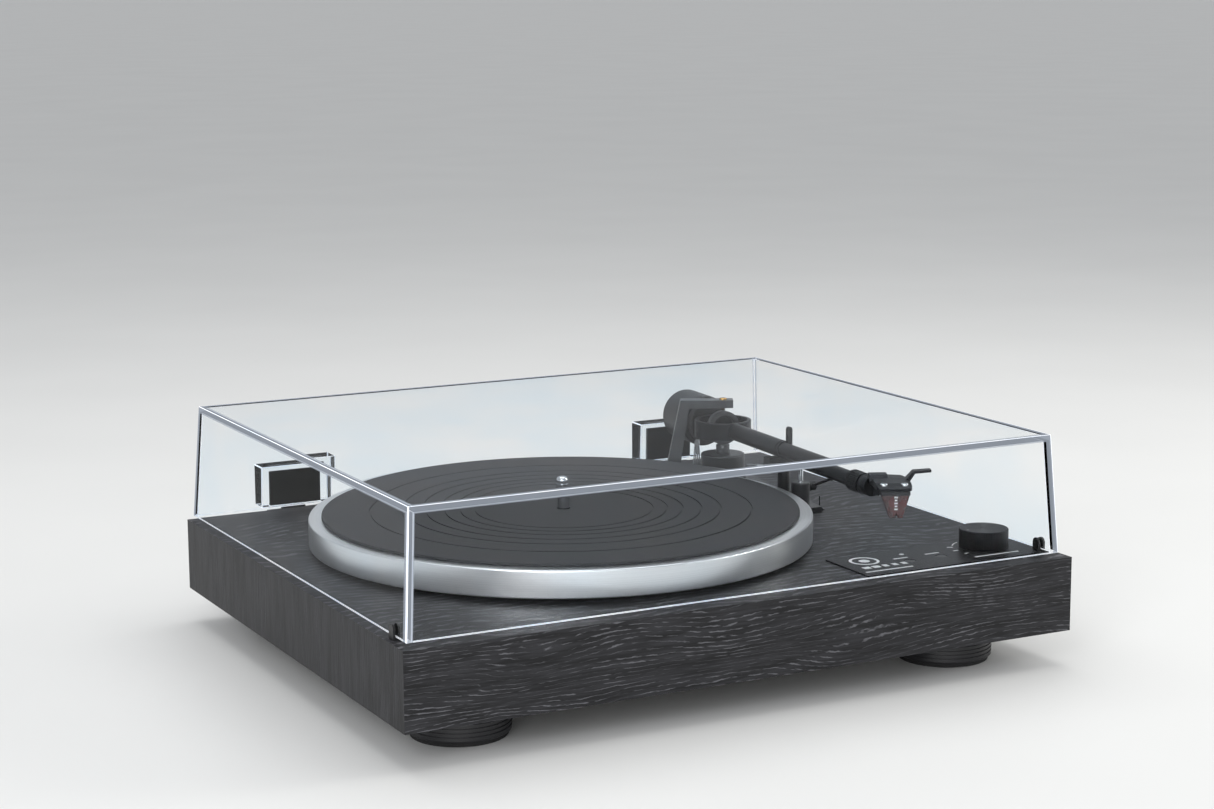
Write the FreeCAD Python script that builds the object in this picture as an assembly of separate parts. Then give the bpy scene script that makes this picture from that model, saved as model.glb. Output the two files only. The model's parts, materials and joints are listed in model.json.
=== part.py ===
import FreeCAD, Part
import math
import os

# Turntable record player: belt drive, straight tonearm in a gimbal, clear hinged lid.
# Millimetres. X runs to the right, Y to the back, Z up. The feet stand on Z = 0.
# The origin is on the floor, in the middle of the whole object's width and depth.

V = FreeCAD.Vector
UP = V(0, 0, 1)
os.makedirs("parts", exist_ok=True)

# ---- driving dimensions -------------------------------------------------------------------
PLINTH_W = 435.0
PLINTH_D = 356.0
PLINTH_H = 45.3
WALL = 26.0                 # side walls of the wooden plinth
BOARD = 12.0                # its top board
FOOT_H = 17.5               # foot, from the floor to the bottom tray
TRAY_DROP = 4.0             # the tray hangs this far below the wood
HINGE_OVERHANG = 14.0       # the hinges stand this far behind the wood

CY = -HINGE_OVERHANG / 2                # plinth centre, front to back
BASE = FOOT_H + TRAY_DROP               # underside of the wood
DECK = BASE + PLINTH_H                  # top of the wood
FRONT = CY - PLINTH_D / 2
REAR = CY + PLINTH_D / 2
BOARD_UNDER = DECK - BOARD

PLATTER_X = -32.5
PLATTER_Y = CY + 5.7
PLATTER_R = 153.5
PLATTER_UNDER = DECK + 3.0
PLATTER_TOP = DECK + 19.5
MAT_R = 145.5
MAT_T = 2.0
MAT_TOP = PLATTER_TOP + MAT_T
MAT_GROOVES = (55.0, 64.0, 73.5, 85.0, 97.0, 116.0)
SPINDLE_R = 3.6
SPINDLE_RISE = 16.5
SPINDLE_NECK = 0.3          # the thinner neck in the platter ends this far above the mat
SHAFT_R = 4.0
SUB_R = 62.0
SUB_UNDER = DECK + 6.5
SUB_TOP = PLATTER_TOP - 4.5
PULLEY_R = 8.0
PULLEY_X = PLATTER_X - 100.0
PULLEY_Y = PLATTER_Y + 60.0
BELT_Z = SUB_UNDER + 2.0
BELT_W = 4.0
BELT_T = 0.6
FREE = 0.3                  # gap kept between parts that move past each other
RUN = 0.05                  # radial running clearance of a shaft

PIVOT_X = 140.0
PIVOT_Y = CY + 105.0
ARM_Z = DECK + 36.7         # height of the arm tube's axis
ARM_ANGLE = 3.1             # the parked arm points this many degrees towards -X from -Y
HEAD_ANGLE = 22.5           # the headshell turns this much further
RING_R = 19.3
RING_WALL = 2.5
RING_H = 11.4
HOOP_R = 11.5
HOOP_BORE = 8.6
HOOP_T = 5.0
STYLUS_REACH = 229.6        # pivot to stylus, along the tube's axis
HEAD_SHIFT = 1.6            # the headshell sits this far to the left of that axis's end

LID_WALL = 4.0
LID_TOP = DECK + 73.8
LID_GAP = 1.8               # the lid's edge floats this far above the wood, on its clips
LID_SIDE_INSET = 4.7
LID_FRONT_INSET = 7.0
LID_REAR_OUT = 1.7
LID_DRAFT = 4.4
CLIP_Y = CY - 154.0
HINGE_X = (-139.5, 139.5)
HINGE_PIN_Y = REAR + 7.4
HINGE_PIN_Z = DECK - 6.0


# ---- small helpers ------------------------------------------------------------------------
def save(shape, name):
    shape.exportStep("parts/" + name + ".step")


def box(x0, x1, y0, y1, z0, z1):
    return Part.makeBox(x1 - x0, y1 - y0, z1 - z0, V(x0, y0, z0))


def centred_box(x, y, w, d, z0, z1):
    return box(x - w / 2, x + w / 2, y - d / 2, y + d / 2, z0, z1)


def rod(x, y, z0, z1, r):
    return Part.makeCylinder(r, z1 - z0, V(x, y, z0))


def tube(x, y, z0, z1, r, bore):
    return rod(x, y, z0, z1, r).cut(rod(x, y, z0 - 1, z1 + 1, bore))


def rod_along(start, direction, length, r):
    return Part.makeCylinder(r, length, start, direction)


def prism(points, z0, z1):
    """A flat outline of (x, y) points, raised from z0 to z1."""
    wire = Part.makePolygon([V(x, y, z0) for x, y in points + points[:1]])
    return Part.Face(wire).extrude(V(0, 0, z1 - z0))


def flat_sided(lower, upper):
    """A solid with flat sides between two outlines whose matching edges are parallel."""
    loops = [lower, upper]
    for k in range(len(lower)):
        j = (k + 1) % len(lower)
        loops.append([lower[k], lower[j], upper[j], upper[k]])
    faces = [Part.Face(Part.makePolygon(loop + loop[:1])) for loop in loops]
    solid = Part.Solid(Part.Shell(faces))
    return solid if solid.Volume > 0 else solid.reversed()


def polar(r, degrees):
    a = math.radians(degrees)
    return r * math.cos(a), r * math.sin(a)


def fuse(shapes):
    whole = shapes[0].multiFuse(shapes[1:]) if len(shapes) > 1 else shapes[0]
    return whole.removeSplitter()


def cut(shape, tools):
    for tool in tools:
        shape = shape.cut(tool)
    return shape


def edges_where(shape, test):
    return [e for e in shape.Edges if test(e)]


def is_circle_at(edge, r, z):
    curve = edge.Curve
    return isinstance(curve, Part.Circle) and abs(curve.Radius - r) < 1e-4 and abs(curve.Center.z - z) < 1e-4


def soften_circles(shape, r, heights, size):
    """Rounds the circular edges of radius r at the given heights."""
    edges = edges_where(shape, lambda e: any(is_circle_at(e, r, z) for z in heights))
    return shape.makeFillet(size, edges)


def soften_uprights(shape, size):
    """Rounds the edges that stand straight up."""
    edges = edges_where(shape, lambda e: abs(abs(e.tangentAt(e.FirstParameter).z) - 1) < 1e-6)
    return shape.makeFillet(size, edges)


def pan_head_screw(x, y, z_seat, length, r=2.0, up=True):
    """A pan-head screw seated at z_seat: its head points up or down, its shank the other way."""
    head_h = 1.1 * r
    sign = 1 if up else -1
    head = Part.makeCylinder(1.9 * r, head_h, V(x, y, z_seat), V(0, 0, sign))
    crown = edges_where(head, lambda e: is_circle_at(e, 1.9 * r, z_seat + sign * head_h))
    head = head.makeFillet(0.45 * r, crown)
    shank = Part.makeCylinder(r, length, V(x, y, z_seat), V(0, 0, -sign))
    socket_top = z_seat + sign * head_h
    socket = []
    for w, d in ((1.9 * r, 0.45 * r), (0.45 * r, 1.9 * r)):
        low = min(socket_top, socket_top - sign * 0.6 * r)
        socket.append(centred_box(x, y, w, d, low - 0.01, low + 0.6 * r + 0.01))
    return fuse([head, shank]).cut(fuse(socket))


def arm_axes(extra_turn):
    """Forward and right-hand directions of a piece turned this far from straight ahead (-Y)."""
    a = math.radians(extra_turn)
    return V(-math.sin(a), -math.cos(a), 0), V(math.cos(a), -math.sin(a), 0)


PIVOT = V(PIVOT_X, PIVOT_Y, ARM_Z)
ARM, ARM_SIDE = arm_axes(ARM_ANGLE)
HEAD, HEAD_SIDE = arm_axes(ARM_ANGLE + HEAD_ANGLE)
STYLUS = PIVOT + ARM * STYLUS_REACH - HEAD_SIDE * HEAD_SHIFT + UP * (MAT_TOP + 0.7 - ARM_Z)


def on_arm(distance, side=0.0, rise=0.0):
    return PIVOT + ARM * distance + ARM_SIDE * side + UP * rise


def on_head(ahead, side, z):
    """A place by the headshell, counted from the stylus: ahead, to the right, and its height."""
    p = STYLUS + HEAD * ahead + HEAD_SIDE * side
    return V(p.x, p.y, z)


def head_prism(outline, z0, z1):
    points = [on_head(a, s, z0) for a, s in outline]
    return Part.Face(Part.makePolygon(points + points[:1])).extrude(V(0, 0, z1 - z0))


# ---- plinth -------------------------------------------------------------------------------
BEARING_HOLE_R = 9.7
MOTOR_HOLE_R = 15.0
PANEL = (82.0, 206.0, CY - 161.0, CY - 114.0)
PANEL_T = 1.0
KNOB_X = 184.0
KNOB_Y = CY - 133.0
KNOB_SHAFT_R = 3.0
BUTTONS = {"size_button": (124.6, CY - 141.2), "start_button": (148.1, CY - 140.1)}
BUTTON_R = 3.5
BUTTON_HOLE_R = 3.8
REST_X = 140.0
REST_Y = CY + 27.0
LIFT_X = 141.0
LIFT_Y = CY + 8.0
LIFT_R = 6.0
ARM_HOLE_R = 11.0
TRAY_INSET = 22.0
BOSS_INSET = 34.0
BOSS_H = 16.0
WINDOW_X = (-15.0, 105.0)
WINDOW_Z = (BASE + 4.0, BASE + 30.0)
SCREW_R = 2.0


def tray_screw_places():
    x_out = PLINTH_W / 2 - BOSS_INSET
    y_out = PLINTH_D / 2 - BOSS_INSET
    rows = [(x, CY + s * y_out) for s in (-1, 1) for x in (-x_out, 0.0, x_out)]
    return rows + [(-x_out, CY), (x_out, CY)]


def plinth_case():
    outer = centred_box(0, CY, PLINTH_W, PLINTH_D, BASE, DECK)
    inner = centred_box(0, CY, PLINTH_W - 2 * WALL, PLINTH_D - 2 * WALL, BASE - 1, BOARD_UNDER)
    shell = outer.cut(inner)
    bosses = [centred_box(x, y, 18, 18, BASE, BASE + BOSS_H) for x, y in tray_screw_places()]
    shell = fuse([shell] + bosses)
    through = [(PLATTER_X, PLATTER_Y, BEARING_HOLE_R), (PULLEY_X, PULLEY_Y, MOTOR_HOLE_R),
               (KNOB_X, KNOB_Y, 5.5), (PIVOT_X, PIVOT_Y, ARM_HOLE_R)]
    through += [(x, y, BUTTON_HOLE_R) for x, y in BUTTONS.values()]
    shell = cut(shell, [rod(x, y, BOARD_UNDER - 1, DECK + 1, r) for x, y, r in through])
    shell = cut(shell, [rod(x, y, BASE - 1, BASE + 14, 1.8) for x, y in tray_screw_places()])
    shell = cut(shell, [rod(x, y, DECK - 8, DECK + 1, SCREW_R) for x, y in deck_screw_places()])
    shell = cut(shell, [rod(x, y, BOARD_UNDER - 1, DECK - 3, SCREW_R) for x, y in motor_screw_places()])
    window = box(WINDOW_X[0], WINDOW_X[1], REAR - WALL - 1, REAR + 1, WINDOW_Z[0], WINDOW_Z[1])
    for x in HINGE_X:
        shell = cut(shell, [rod_along(V(x + dx, REAR + 1, hinge_screw_z(k)), V(0, -1, 0), 15, 1.8)
                            for dx in (-12, 12) for k in (0, 1)])
    return shell.cut(window)


def bottom_cover():
    """A black tray under the wood, with a raised lip inside the walls and holes for its screws."""
    w = PLINTH_W - 2 * TRAY_INSET
    d = PLINTH_D - 2 * TRAY_INSET
    plate = soften_uprights(centred_box(0, CY, w, d, BASE - TRAY_DROP, BASE), 6)
    hollow = centred_box(0, CY, w - 60, d - 60, BASE - TRAY_DROP + 2, BASE + 1)
    plate = plate.cut(hollow)
    plate = cut(plate, [rod(x, y, BASE - 10, BASE + 1, 2.2) for x, y in tray_screw_places()])
    plate = cut(plate, [rod(x, y, BASE - TRAY_DROP - 1, BASE - TRAY_DROP + 2.2, 4.2)
                        for x, y in tray_screw_places()])
    plate = cut(plate, [rod(x, y, BASE - 10, BASE + 1, 3.2) for x, y in foot_places().values()])
    slots = [centred_box(-60 + 12 * i, CY - 40, 3, 40, BASE - 10, BASE + 1) for i in range(11)]
    return cut(plate, slots)


def tray_screws():
    seat = BASE - TRAY_DROP + 2.2
    return Part.makeCompound([pan_head_screw(x, y, seat, 12, 1.8, up=False) for x, y in tray_screw_places()])


# ---- feet ---------------------------------------------------------------------------------
FOOT_R = 29.5
PAD_H = 2.5


def foot_places():
    names = {"foot_front_left": (-1, -1), "foot_front_right": (1, -1),
             "foot_rear_left": (-1, 1), "foot_rear_right": (1, 1)}
    return {name: (sx * 162.5, CY + sy * 124.5) for name, (sx, sy) in names.items()}


def foot(x, y):
    """A turned foot: a wide ribbed disc under a narrower neck, with a stud into the tray."""
    disc = rod(x, y, PAD_H, 13.5, FOOT_R)
    disc = soften_circles(disc, FOOT_R, (PAD_H, 13.5), 1.2)
    neck = rod(x, y, 13.5, FOOT_H, 22.0)
    stud = rod(x, y, FOOT_H, BASE + 4, 3.0)
    ribs = [tube(x, y, z, z + 0.8, FOOT_R + 1, FOOT_R - 0.6) for z in (5.6, 8.0, 10.4)]
    recess = rod(x, y, PAD_H - 1, 9.0, 16.0)
    return cut(fuse([disc, neck, stud]), ribs + [recess])


def foot_pads():
    return Part.makeCompound([tube(x, y, 0, PAD_H, 27.5, 18.0) for x, y in foot_places().values()])


# ---- platter and its drive ----------------------------------------------------------------
HOUSING_FLOOR = DECK - 36.0
BUSH_R = 6.5
BALL_R = 2.0


def deck_screw_places():
    """Screws of the bearing flange, on top of the board."""
    return [tuple(a + b for a, b in zip((PLATTER_X, PLATTER_Y), polar(17.0, 90 + 120 * k))) for k in range(3)]


def bearing_housing():
    flange = rod(PLATTER_X, PLATTER_Y, DECK, DECK + 3, 22.0)
    barrel = rod(PLATTER_X, PLATTER_Y, HOUSING_FLOOR - 4, DECK, BEARING_HOLE_R - 0.2)
    bore = rod(PLATTER_X, PLATTER_Y, HOUSING_FLOOR, DECK + 4, BUSH_R)
    body = fuse([flange, barrel]).cut(bore)
    return cut(body, [rod(x, y, DECK - 1, DECK + 4, SCREW_R) for x, y in deck_screw_places()])


def bearing_bush():
    return tube(PLATTER_X, PLATTER_Y, HOUSING_FLOOR + 6, DECK + 3, BUSH_R, SHAFT_R + RUN)


def thrust_ball():
    return Part.makeSphere(BALL_R, V(PLATTER_X, PLATTER_Y, HOUSING_FLOOR + BALL_R))


def platter():
    """A turned aluminium platter: a heavy rim, a thinner top plate and a hub."""
    rim = tube(PLATTER_X, PLATTER_Y, PLATTER_UNDER, PLATTER_TOP, PLATTER_R, PLATTER_R - 12)
    top = rod(PLATTER_X, PLATTER_Y, SUB_TOP, PLATTER_TOP, PLATTER_R - 11)
    body = fuse([rim, top]).cut(rod(PLATTER_X, PLATTER_Y, SUB_TOP - 1, PLATTER_TOP + 1, SPINDLE_R + 0.4))
    body = soften_circles(body, PLATTER_R, (PLATTER_TOP,), 0.8)
    return soften_circles(body, PLATTER_R, (PLATTER_UNDER,), 0.8)


def platter_mat():
    mat = rod(PLATTER_X, PLATTER_Y, PLATTER_TOP, MAT_TOP, MAT_R)
    mat = soften_circles(mat, MAT_R, (MAT_TOP,), 0.6)
    mat = mat.cut(rod(PLATTER_X, PLATTER_Y, PLATTER_TOP - 1, MAT_TOP + 1, SPINDLE_R + 0.6))
    grooves = []
    for r in MAT_GROOVES:
        grooves.append(tube(PLATTER_X, PLATTER_Y, MAT_TOP - 0.7, MAT_TOP + 1, r + 0.55, r - 0.55))
    return cut(mat, grooves)


def sub_platter():
    ring = tube(PLATTER_X, PLATTER_Y, SUB_UNDER, SUB_TOP, SUB_R, SUB_R - 5)
    web = tube(PLATTER_X, PLATTER_Y, SUB_UNDER + 2, SUB_UNDER + 4.5, SUB_R - 4, 10)
    hub = rod(PLATTER_X, PLATTER_Y, SUB_UNDER, SUB_TOP, 11)
    ribs = [centred_box(PLATTER_X, PLATTER_Y, 2 * SUB_R - 6, 2.5, SUB_UNDER + 1, SUB_TOP - 2)]
    ribs += [ribs[0].rotated(V(PLATTER_X, PLATTER_Y, 0), UP, a) for a in (60, 120)]
    body = fuse([ring, web, hub] + ribs)
    return body.cut(rod(PLATTER_X, PLATTER_Y, SUB_UNDER - 1, SUB_TOP + 1, SHAFT_R))


def spindle_shaft():
    """The bearing shaft, a neck through the platter, and the record spindle with its grooved, domed tip."""
    top = MAT_TOP + SPINDLE_RISE
    shaft = rod(PLATTER_X, PLATTER_Y, HOUSING_FLOOR + 2 * BALL_R, SUB_TOP, SHAFT_R)
    neck = rod(PLATTER_X, PLATTER_Y, SUB_TOP, MAT_TOP + SPINDLE_NECK, SPINDLE_R - 0.3)
    spindle = rod(PLATTER_X, PLATTER_Y, MAT_TOP + SPINDLE_NECK, top, SPINDLE_R)
    spindle = soften_circles(spindle, SPINDLE_R, (top,), 2.4)
    groove = tube(PLATTER_X, PLATTER_Y, top - 4.6, top - 4.0, SPINDLE_R + 1, SPINDLE_R - 0.5)
    return fuse([shaft, neck, spindle]).cut(groove)


MOTOR_TOP = BOARD_UNDER - 3.0
MOTOR_H = 24.0
MOTOR_SHAFT_R = 1.0
DRIVE_SCREW_LEN = 10.0


def motor_screw_places():
    return [(PULLEY_X + dx, PULLEY_Y + dy) for dx, dy in (polar(26.0, 90 + 120 * k) for k in range(3))]


def motor_body():
    """A small DC motor: a can, a front boss, and a round plate with three ears."""
    can = rod(PULLEY_X, PULLEY_Y, MOTOR_TOP - 1.5 - MOTOR_H, MOTOR_TOP - 1.5, 18.5)
    can = soften_circles(can, 18.5, (MOTOR_TOP - 1.5 - MOTOR_H,), 2)
    plate = rod(PULLEY_X, PULLEY_Y, MOTOR_TOP - 1.5, MOTOR_TOP, 21)
    ears = [rod(x, y, MOTOR_TOP - 1.5, MOTOR_TOP, 7.5) for x, y in motor_screw_places()]
    boss = rod(PULLEY_X, PULLEY_Y, MOTOR_TOP, DECK, 5)
    body = fuse([can, plate, boss] + ears)
    holes = [rod(x, y, MOTOR_TOP - 4, MOTOR_TOP + 1, 3.0) for x, y in motor_screw_places()]
    return cut(body, holes + [rod(PULLEY_X, PULLEY_Y, MOTOR_TOP - 20, DECK + 1, MOTOR_SHAFT_R + RUN)])


def motor_grommets():
    """Rubber rings that keep the motor's hum out of the wood."""
    rings = []
    for x, y in motor_screw_places():
        above = tube(x, y, MOTOR_TOP, BOARD_UNDER, 5.5, SCREW_R)
        waist = tube(x, y, MOTOR_TOP - 1.5, MOTOR_TOP, 3.0, SCREW_R)
        below = tube(x, y, MOTOR_TOP - 4.0, MOTOR_TOP - 1.5, 5.5, SCREW_R)
        rings.append(fuse([above, waist, below]))
    return Part.makeCompound(rings)


def machine_screws():
    """The like screws of the drive: three through the bearing flange, three through the grommets."""
    flange = [pan_head_screw(x, y, DECK + 3, DRIVE_SCREW_LEN) for x, y in deck_screw_places()]
    motor = []
    for x, y in motor_screw_places():
        motor.append(pan_head_screw(x, y, MOTOR_TOP - 4.0, DRIVE_SCREW_LEN, up=False))
    return Part.makeCompound(flange + motor)


def motor_pulley():
    """A crowned pulley on the motor's own shaft."""
    low = BELT_Z - 1.5
    high = BELT_Z + BELT_W + 1.5
    drum = rod(PULLEY_X, PULLEY_Y, BELT_Z - 0.4, BELT_Z + BELT_W + 0.4, PULLEY_R)
    flanges = [rod(PULLEY_X, PULLEY_Y, z, z + 1.1, PULLEY_R + 1.6) for z in (low, high - 1.1)]
    collar = rod(PULLEY_X, PULLEY_Y, DECK + 1.5, low, 4)
    shaft = rod(PULLEY_X, PULLEY_Y, MOTOR_TOP - 15, high, MOTOR_SHAFT_R)
    return fuse([drum, collar, shaft] + flanges)


def belt_outline(offset):
    """The space inside a loop that wraps the sub-platter and the pulley, this far outside both."""
    big = SUB_R + offset
    small = PULLEY_R + offset
    dx = PULLEY_X - PLATTER_X
    dy = PULLEY_Y - PLATTER_Y
    span = math.hypot(dx, dy)
    heading = math.atan2(dy, dx)
    lean = math.acos((big - small) / span)
    corners = []
    for turn in (lean, -lean):
        c, s = math.cos(heading + turn), math.sin(heading + turn)
        corners.append((PLATTER_X + big * c, PLATTER_Y + big * s))
        corners.append((PULLEY_X + small * c, PULLEY_Y + small * s))
    web = prism([corners[0], corners[1], corners[3], corners[2]], BELT_Z, BELT_Z + BELT_W)
    wheels = [rod(PLATTER_X, PLATTER_Y, BELT_Z, BELT_Z + BELT_W, big),
              rod(PULLEY_X, PULLEY_Y, BELT_Z, BELT_Z + BELT_W, small)]
    return fuse([web] + wheels)


def drive_belt():
    return belt_outline(FREE + BELT_T).cut(belt_outline(FREE))


# ---- electrics ----------------------------------------------------------------------------
PLATE_Y = REAR - 3.0


def circuit_board():
    """The main board on four pillars, with its larger parts."""
    z = BASE + 8.0
    back = REAR - WALL - 26
    board = box(0, 110, back - 58, back, z, z + 1.6)
    corners = [(x, y) for x in (6, 104) for y in (back - 52, back - 6)]
    pillars = [rod(x, y, BASE - TRAY_DROP + 2, z, 3) for x, y in corners]
    cans = [rod(22 + 15 * i, back - 33, z + 1.6, z + 13, 4.5) for i in range(4)]
    sink = box(30, 80, back - 50, back - 46, z + 1.6, z + 15)
    return fuse([board] + pillars + cans + [sink])


JACK_X = (15.0, 33.0)
JACK_Z = BASE + 17.0
JACK_R = 4.1
INLET_X = 82.0


def connector_plate():
    """The recessed steel plate in the back of the plinth."""
    plate = box(WINDOW_X[0], WINDOW_X[1], PLATE_Y - 1.5, PLATE_Y, WINDOW_Z[0], WINDOW_Z[1])
    holes = [rod_along(V(x, PLATE_Y - 2, JACK_Z), V(0, 1, 0), 4, 5.0) for x in JACK_X]
    holes.append(centred_box(INLET_X, PLATE_Y, 11, 8, JACK_Z - 5.5, JACK_Z + 5.5))
    return cut(plate, holes)


def output_jacks():
    jacks = []
    for x in JACK_X:
        start = V(x, PLATE_Y - 12, JACK_Z)
        flange = rod_along(V(x, PLATE_Y, JACK_Z), V(0, 1, 0), 1.5, 6.4)
        body = rod_along(start, V(0, 1, 0), 12, 5.0).fuse(flange)
        sleeve = rod_along(V(x, PLATE_Y, JACK_Z), V(0, 1, 0), 9.0, JACK_R)
        hole = rod_along(V(x, PLATE_Y - 3, JACK_Z), V(0, 1, 0), 20, 1.7)
        jacks.append(fuse([body, sleeve]).cut(hole))
    return Part.makeCompound(jacks)


def dc_inlet():
    """A round low-voltage socket with its centre pin."""
    body = centred_box(INLET_X, PLATE_Y - 5, 11, 13, JACK_Z - 5.5, JACK_Z + 5.5)
    lip = centred_box(INLET_X, PLATE_Y + 0.75, 14, 1.5, JACK_Z - 7, JACK_Z + 7)
    bore = rod_along(V(INLET_X, PLATE_Y - 8, JACK_Z), V(0, 1, 0), 12, 3.0)
    pin = rod_along(V(INLET_X, PLATE_Y - 9, JACK_Z), V(0, 1, 0), 8.5, 1.0)
    return fuse([fuse([body, lip]).cut(bore), pin])


# ---- front controls -----------------------------------------------------------------------
KNOB_R = 15.0
KNOB_H = 11.5


def control_panel():
    x0, x1, y0, y1 = PANEL
    plate = soften_uprights(box(x0, x1, y0, y1, DECK, DECK + PANEL_T), 0.8)
    holes = [rod(x, y, DECK - 1, DECK + 3, BUTTON_HOLE_R) for x, y in BUTTONS.values()]
    return cut(plate, holes + [rod(KNOB_X, KNOB_Y, DECK - 1, DECK + 3, 5.5)])


def control_board():
    """The small board under the panel, with the knob's rotary switch and one press switch a button."""
    face = BOARD_UNDER - 9
    plate = box(KNOB_X - 68, KNOB_X + 5, KNOB_Y - 14, KNOB_Y + 6, face - 1.6, face)
    switch = centred_box(KNOB_X, KNOB_Y, 14, 14, face - 1.6, BOARD_UNDER)
    neck = rod(KNOB_X, KNOB_Y, BOARD_UNDER, DECK + PANEL_T, 5.2)
    press = [centred_box(x, y, 6, 6, face, BOARD_UNDER - 5.2) for x, y in BUTTONS.values()]
    bore = rod(KNOB_X, KNOB_Y, BOARD_UNDER - 6, DECK + PANEL_T + 1, KNOB_SHAFT_R + RUN)
    return fuse([plate, switch, neck] + press).cut(bore)


def speed_knob():
    low = DECK + PANEL_T + 0.5
    knob = rod(KNOB_X, KNOB_Y, low, low + KNOB_H, KNOB_R)
    knob = soften_circles(knob, KNOB_R, (low + KNOB_H,), 0.7)
    shaft = rod(KNOB_X, KNOB_Y, BOARD_UNDER - 5, low, KNOB_SHAFT_R)
    mark = rod(KNOB_X - KNOB_R + 3.2, KNOB_Y, low + KNOB_H - 0.4, low + KNOB_H + 1, 0.8)
    return fuse([knob, shaft]).cut(mark)


def push_button(x, y):
    """A small round button with a collar below the board that keeps it in."""
    top = DECK + PANEL_T - 0.2
    stem = rod(x, y, BOARD_UNDER - 2, top, BUTTON_R)
    stem = soften_circles(stem, BUTTON_R, (top,), 0.4)
    collar = rod(x, y, BOARD_UNDER - 4, BOARD_UNDER - 0.4, BUTTON_R + 1.5)
    return fuse([stem, collar])


# ---- tonearm base, bearings and rest ------------------------------------------------------
BRACKET_ANGLE = -27.6       # the bracket's plane turns this far from +X
BRACKET_T = 9.5
TURRET_R = 15.0
TURRET_TOP = DECK + 19.0
CUP_TOP = ARM_Z - HOOP_R - FREE
POINT_TIP = ARM_Z + HOOP_R + FREE
BASE_T = 4.0


def bracket_place(u, z, across=0.0):
    c, s = math.cos(math.radians(BRACKET_ANGLE)), math.sin(math.radians(BRACKET_ANGLE))
    return V(PIVOT_X + u * c - across * s, PIVOT_Y + u * s + across * c, z)


def arm_base():
    """The pedestal under the arm: a base plate, a round turret and a sleeve through the wood."""
    turret = rod(PIVOT_X, PIVOT_Y, DECK, TURRET_TOP, TURRET_R)
    turret = soften_circles(turret, TURRET_R, (TURRET_TOP,), 1.0)
    disc = rod(PIVOT_X, PIVOT_Y, DECK, DECK + BASE_T, 25.0)
    arm = prism([(PIVOT_X - 22, PIVOT_Y - 10), (PIVOT_X + 22, PIVOT_Y - 10), (LIFT_X + 11, LIFT_Y - 9),
                 (LIFT_X - 10, LIFT_Y - 9)], DECK, DECK + BASE_T)
    sleeve = rod(PIVOT_X, PIVOT_Y, BOARD_UNDER - 6, DECK, ARM_HOLE_R - 0.2)
    nut = prism([(PIVOT_X + x, PIVOT_Y + y) for x, y in (polar(15.5, 60 * k) for k in range(6))],
                BOARD_UNDER - 4, BOARD_UNDER)
    body = fuse([turret, disc, arm, sleeve, nut])
    lead_way = rod(PIVOT_X, PIVOT_Y, BOARD_UNDER - 7, TURRET_TOP - 6, 5)
    rest_socket = rod(REST_X, REST_Y, DECK + 1.5, DECK + 9, 4.0)
    lift_socket = rod(LIFT_X, LIFT_Y, DECK + 1.5, DECK + 9, LIFT_R)
    return cut(body, [lead_way, rest_socket, lift_socket, bracket_foot_space()])


def bracket_foot_space():
    """The pocket in the base plate that takes the bracket's foot."""
    outline = [(-45, DECK), (-12, DECK), (-12, DECK + BASE_T), (-45, DECK + BASE_T)]
    half = BRACKET_T / 2
    face = Part.Face(Part.makePolygon([bracket_place(u, z, -half) for u, z in outline + outline[:1]]))
    return face.extrude(bracket_place(0, 0, half) - bracket_place(0, 0, -half))


def arm_bracket():
    """The bent bar that carries the upper pivot over the gimbal."""
    outline = [(6.8, DECK + 50.9), (6.8, DECK + 56.2), (-29.0, DECK + 56.2), (-37.4, DECK + 15.0),
               (-41.0, DECK), (-12.0, DECK), (-12.0, DECK + BASE_T), (-30.0, DECK + BASE_T),
               (-28.2, DECK + 17.6), (-23.2, DECK + 50.4)]
    half = BRACKET_T / 2
    face = Part.Face(Part.makePolygon([bracket_place(u, z, -half) for u, z in outline + outline[:1]]))
    bar = face.extrude(bracket_place(0, 0, half) - bracket_place(0, 0, -half))
    return bar.cut(rod(PIVOT_X, PIVOT_Y, DECK + 40, DECK + 60, 2.5))


def upper_pivot_screw():
    """The gilt point that holds the gimbal from above."""
    top = DECK + 57.2
    body = rod(PIVOT_X, PIVOT_Y, POINT_TIP + 3, top, 2.5)
    body = soften_circles(body, 2.5, (top,), 0.6)
    point = Part.makeCone(0.5, 2.5, 3, V(PIVOT_X, PIVOT_Y, POINT_TIP))
    slot = centred_box(PIVOT_X, PIVOT_Y, 6, 0.7, top - 0.6, top + 1)
    return fuse([body, point]).cut(slot)


def lower_pivot_cup():
    stem = rod(PIVOT_X, PIVOT_Y, TURRET_TOP, CUP_TOP, 4.6)
    return stem.cut(Part.makeCone(0.3, 2.0, 1.5, V(PIVOT_X, PIVOT_Y, CUP_TOP - 1.5)))


def arm_leads():
    """Four fine signal leads that stand up out of the base beside the turret."""
    leads = []
    for k in range(4):
        foot_at = bracket_place(-20.0 + 1.3 * k, DECK + BASE_T, -6.0 + 0.8 * k)
        bend = bracket_place(-20.0 + 1.3 * k, DECK + 16, -6.0 + 0.8 * k)
        head_at = bracket_place(-19.0 + 0.8 * k, ARM_Z - RING_H / 2 - 1.6, -6.0 + 0.8 * k)
        lower = rod_along(foot_at, bend - foot_at, (bend - foot_at).Length, 0.45)
        upper = rod_along(bend, head_at - bend, (head_at - bend).Length, 0.45)
        leads.append(fuse([lower, Part.makeSphere(0.45, bend), upper]))
    return Part.makeCompound(leads)




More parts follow.
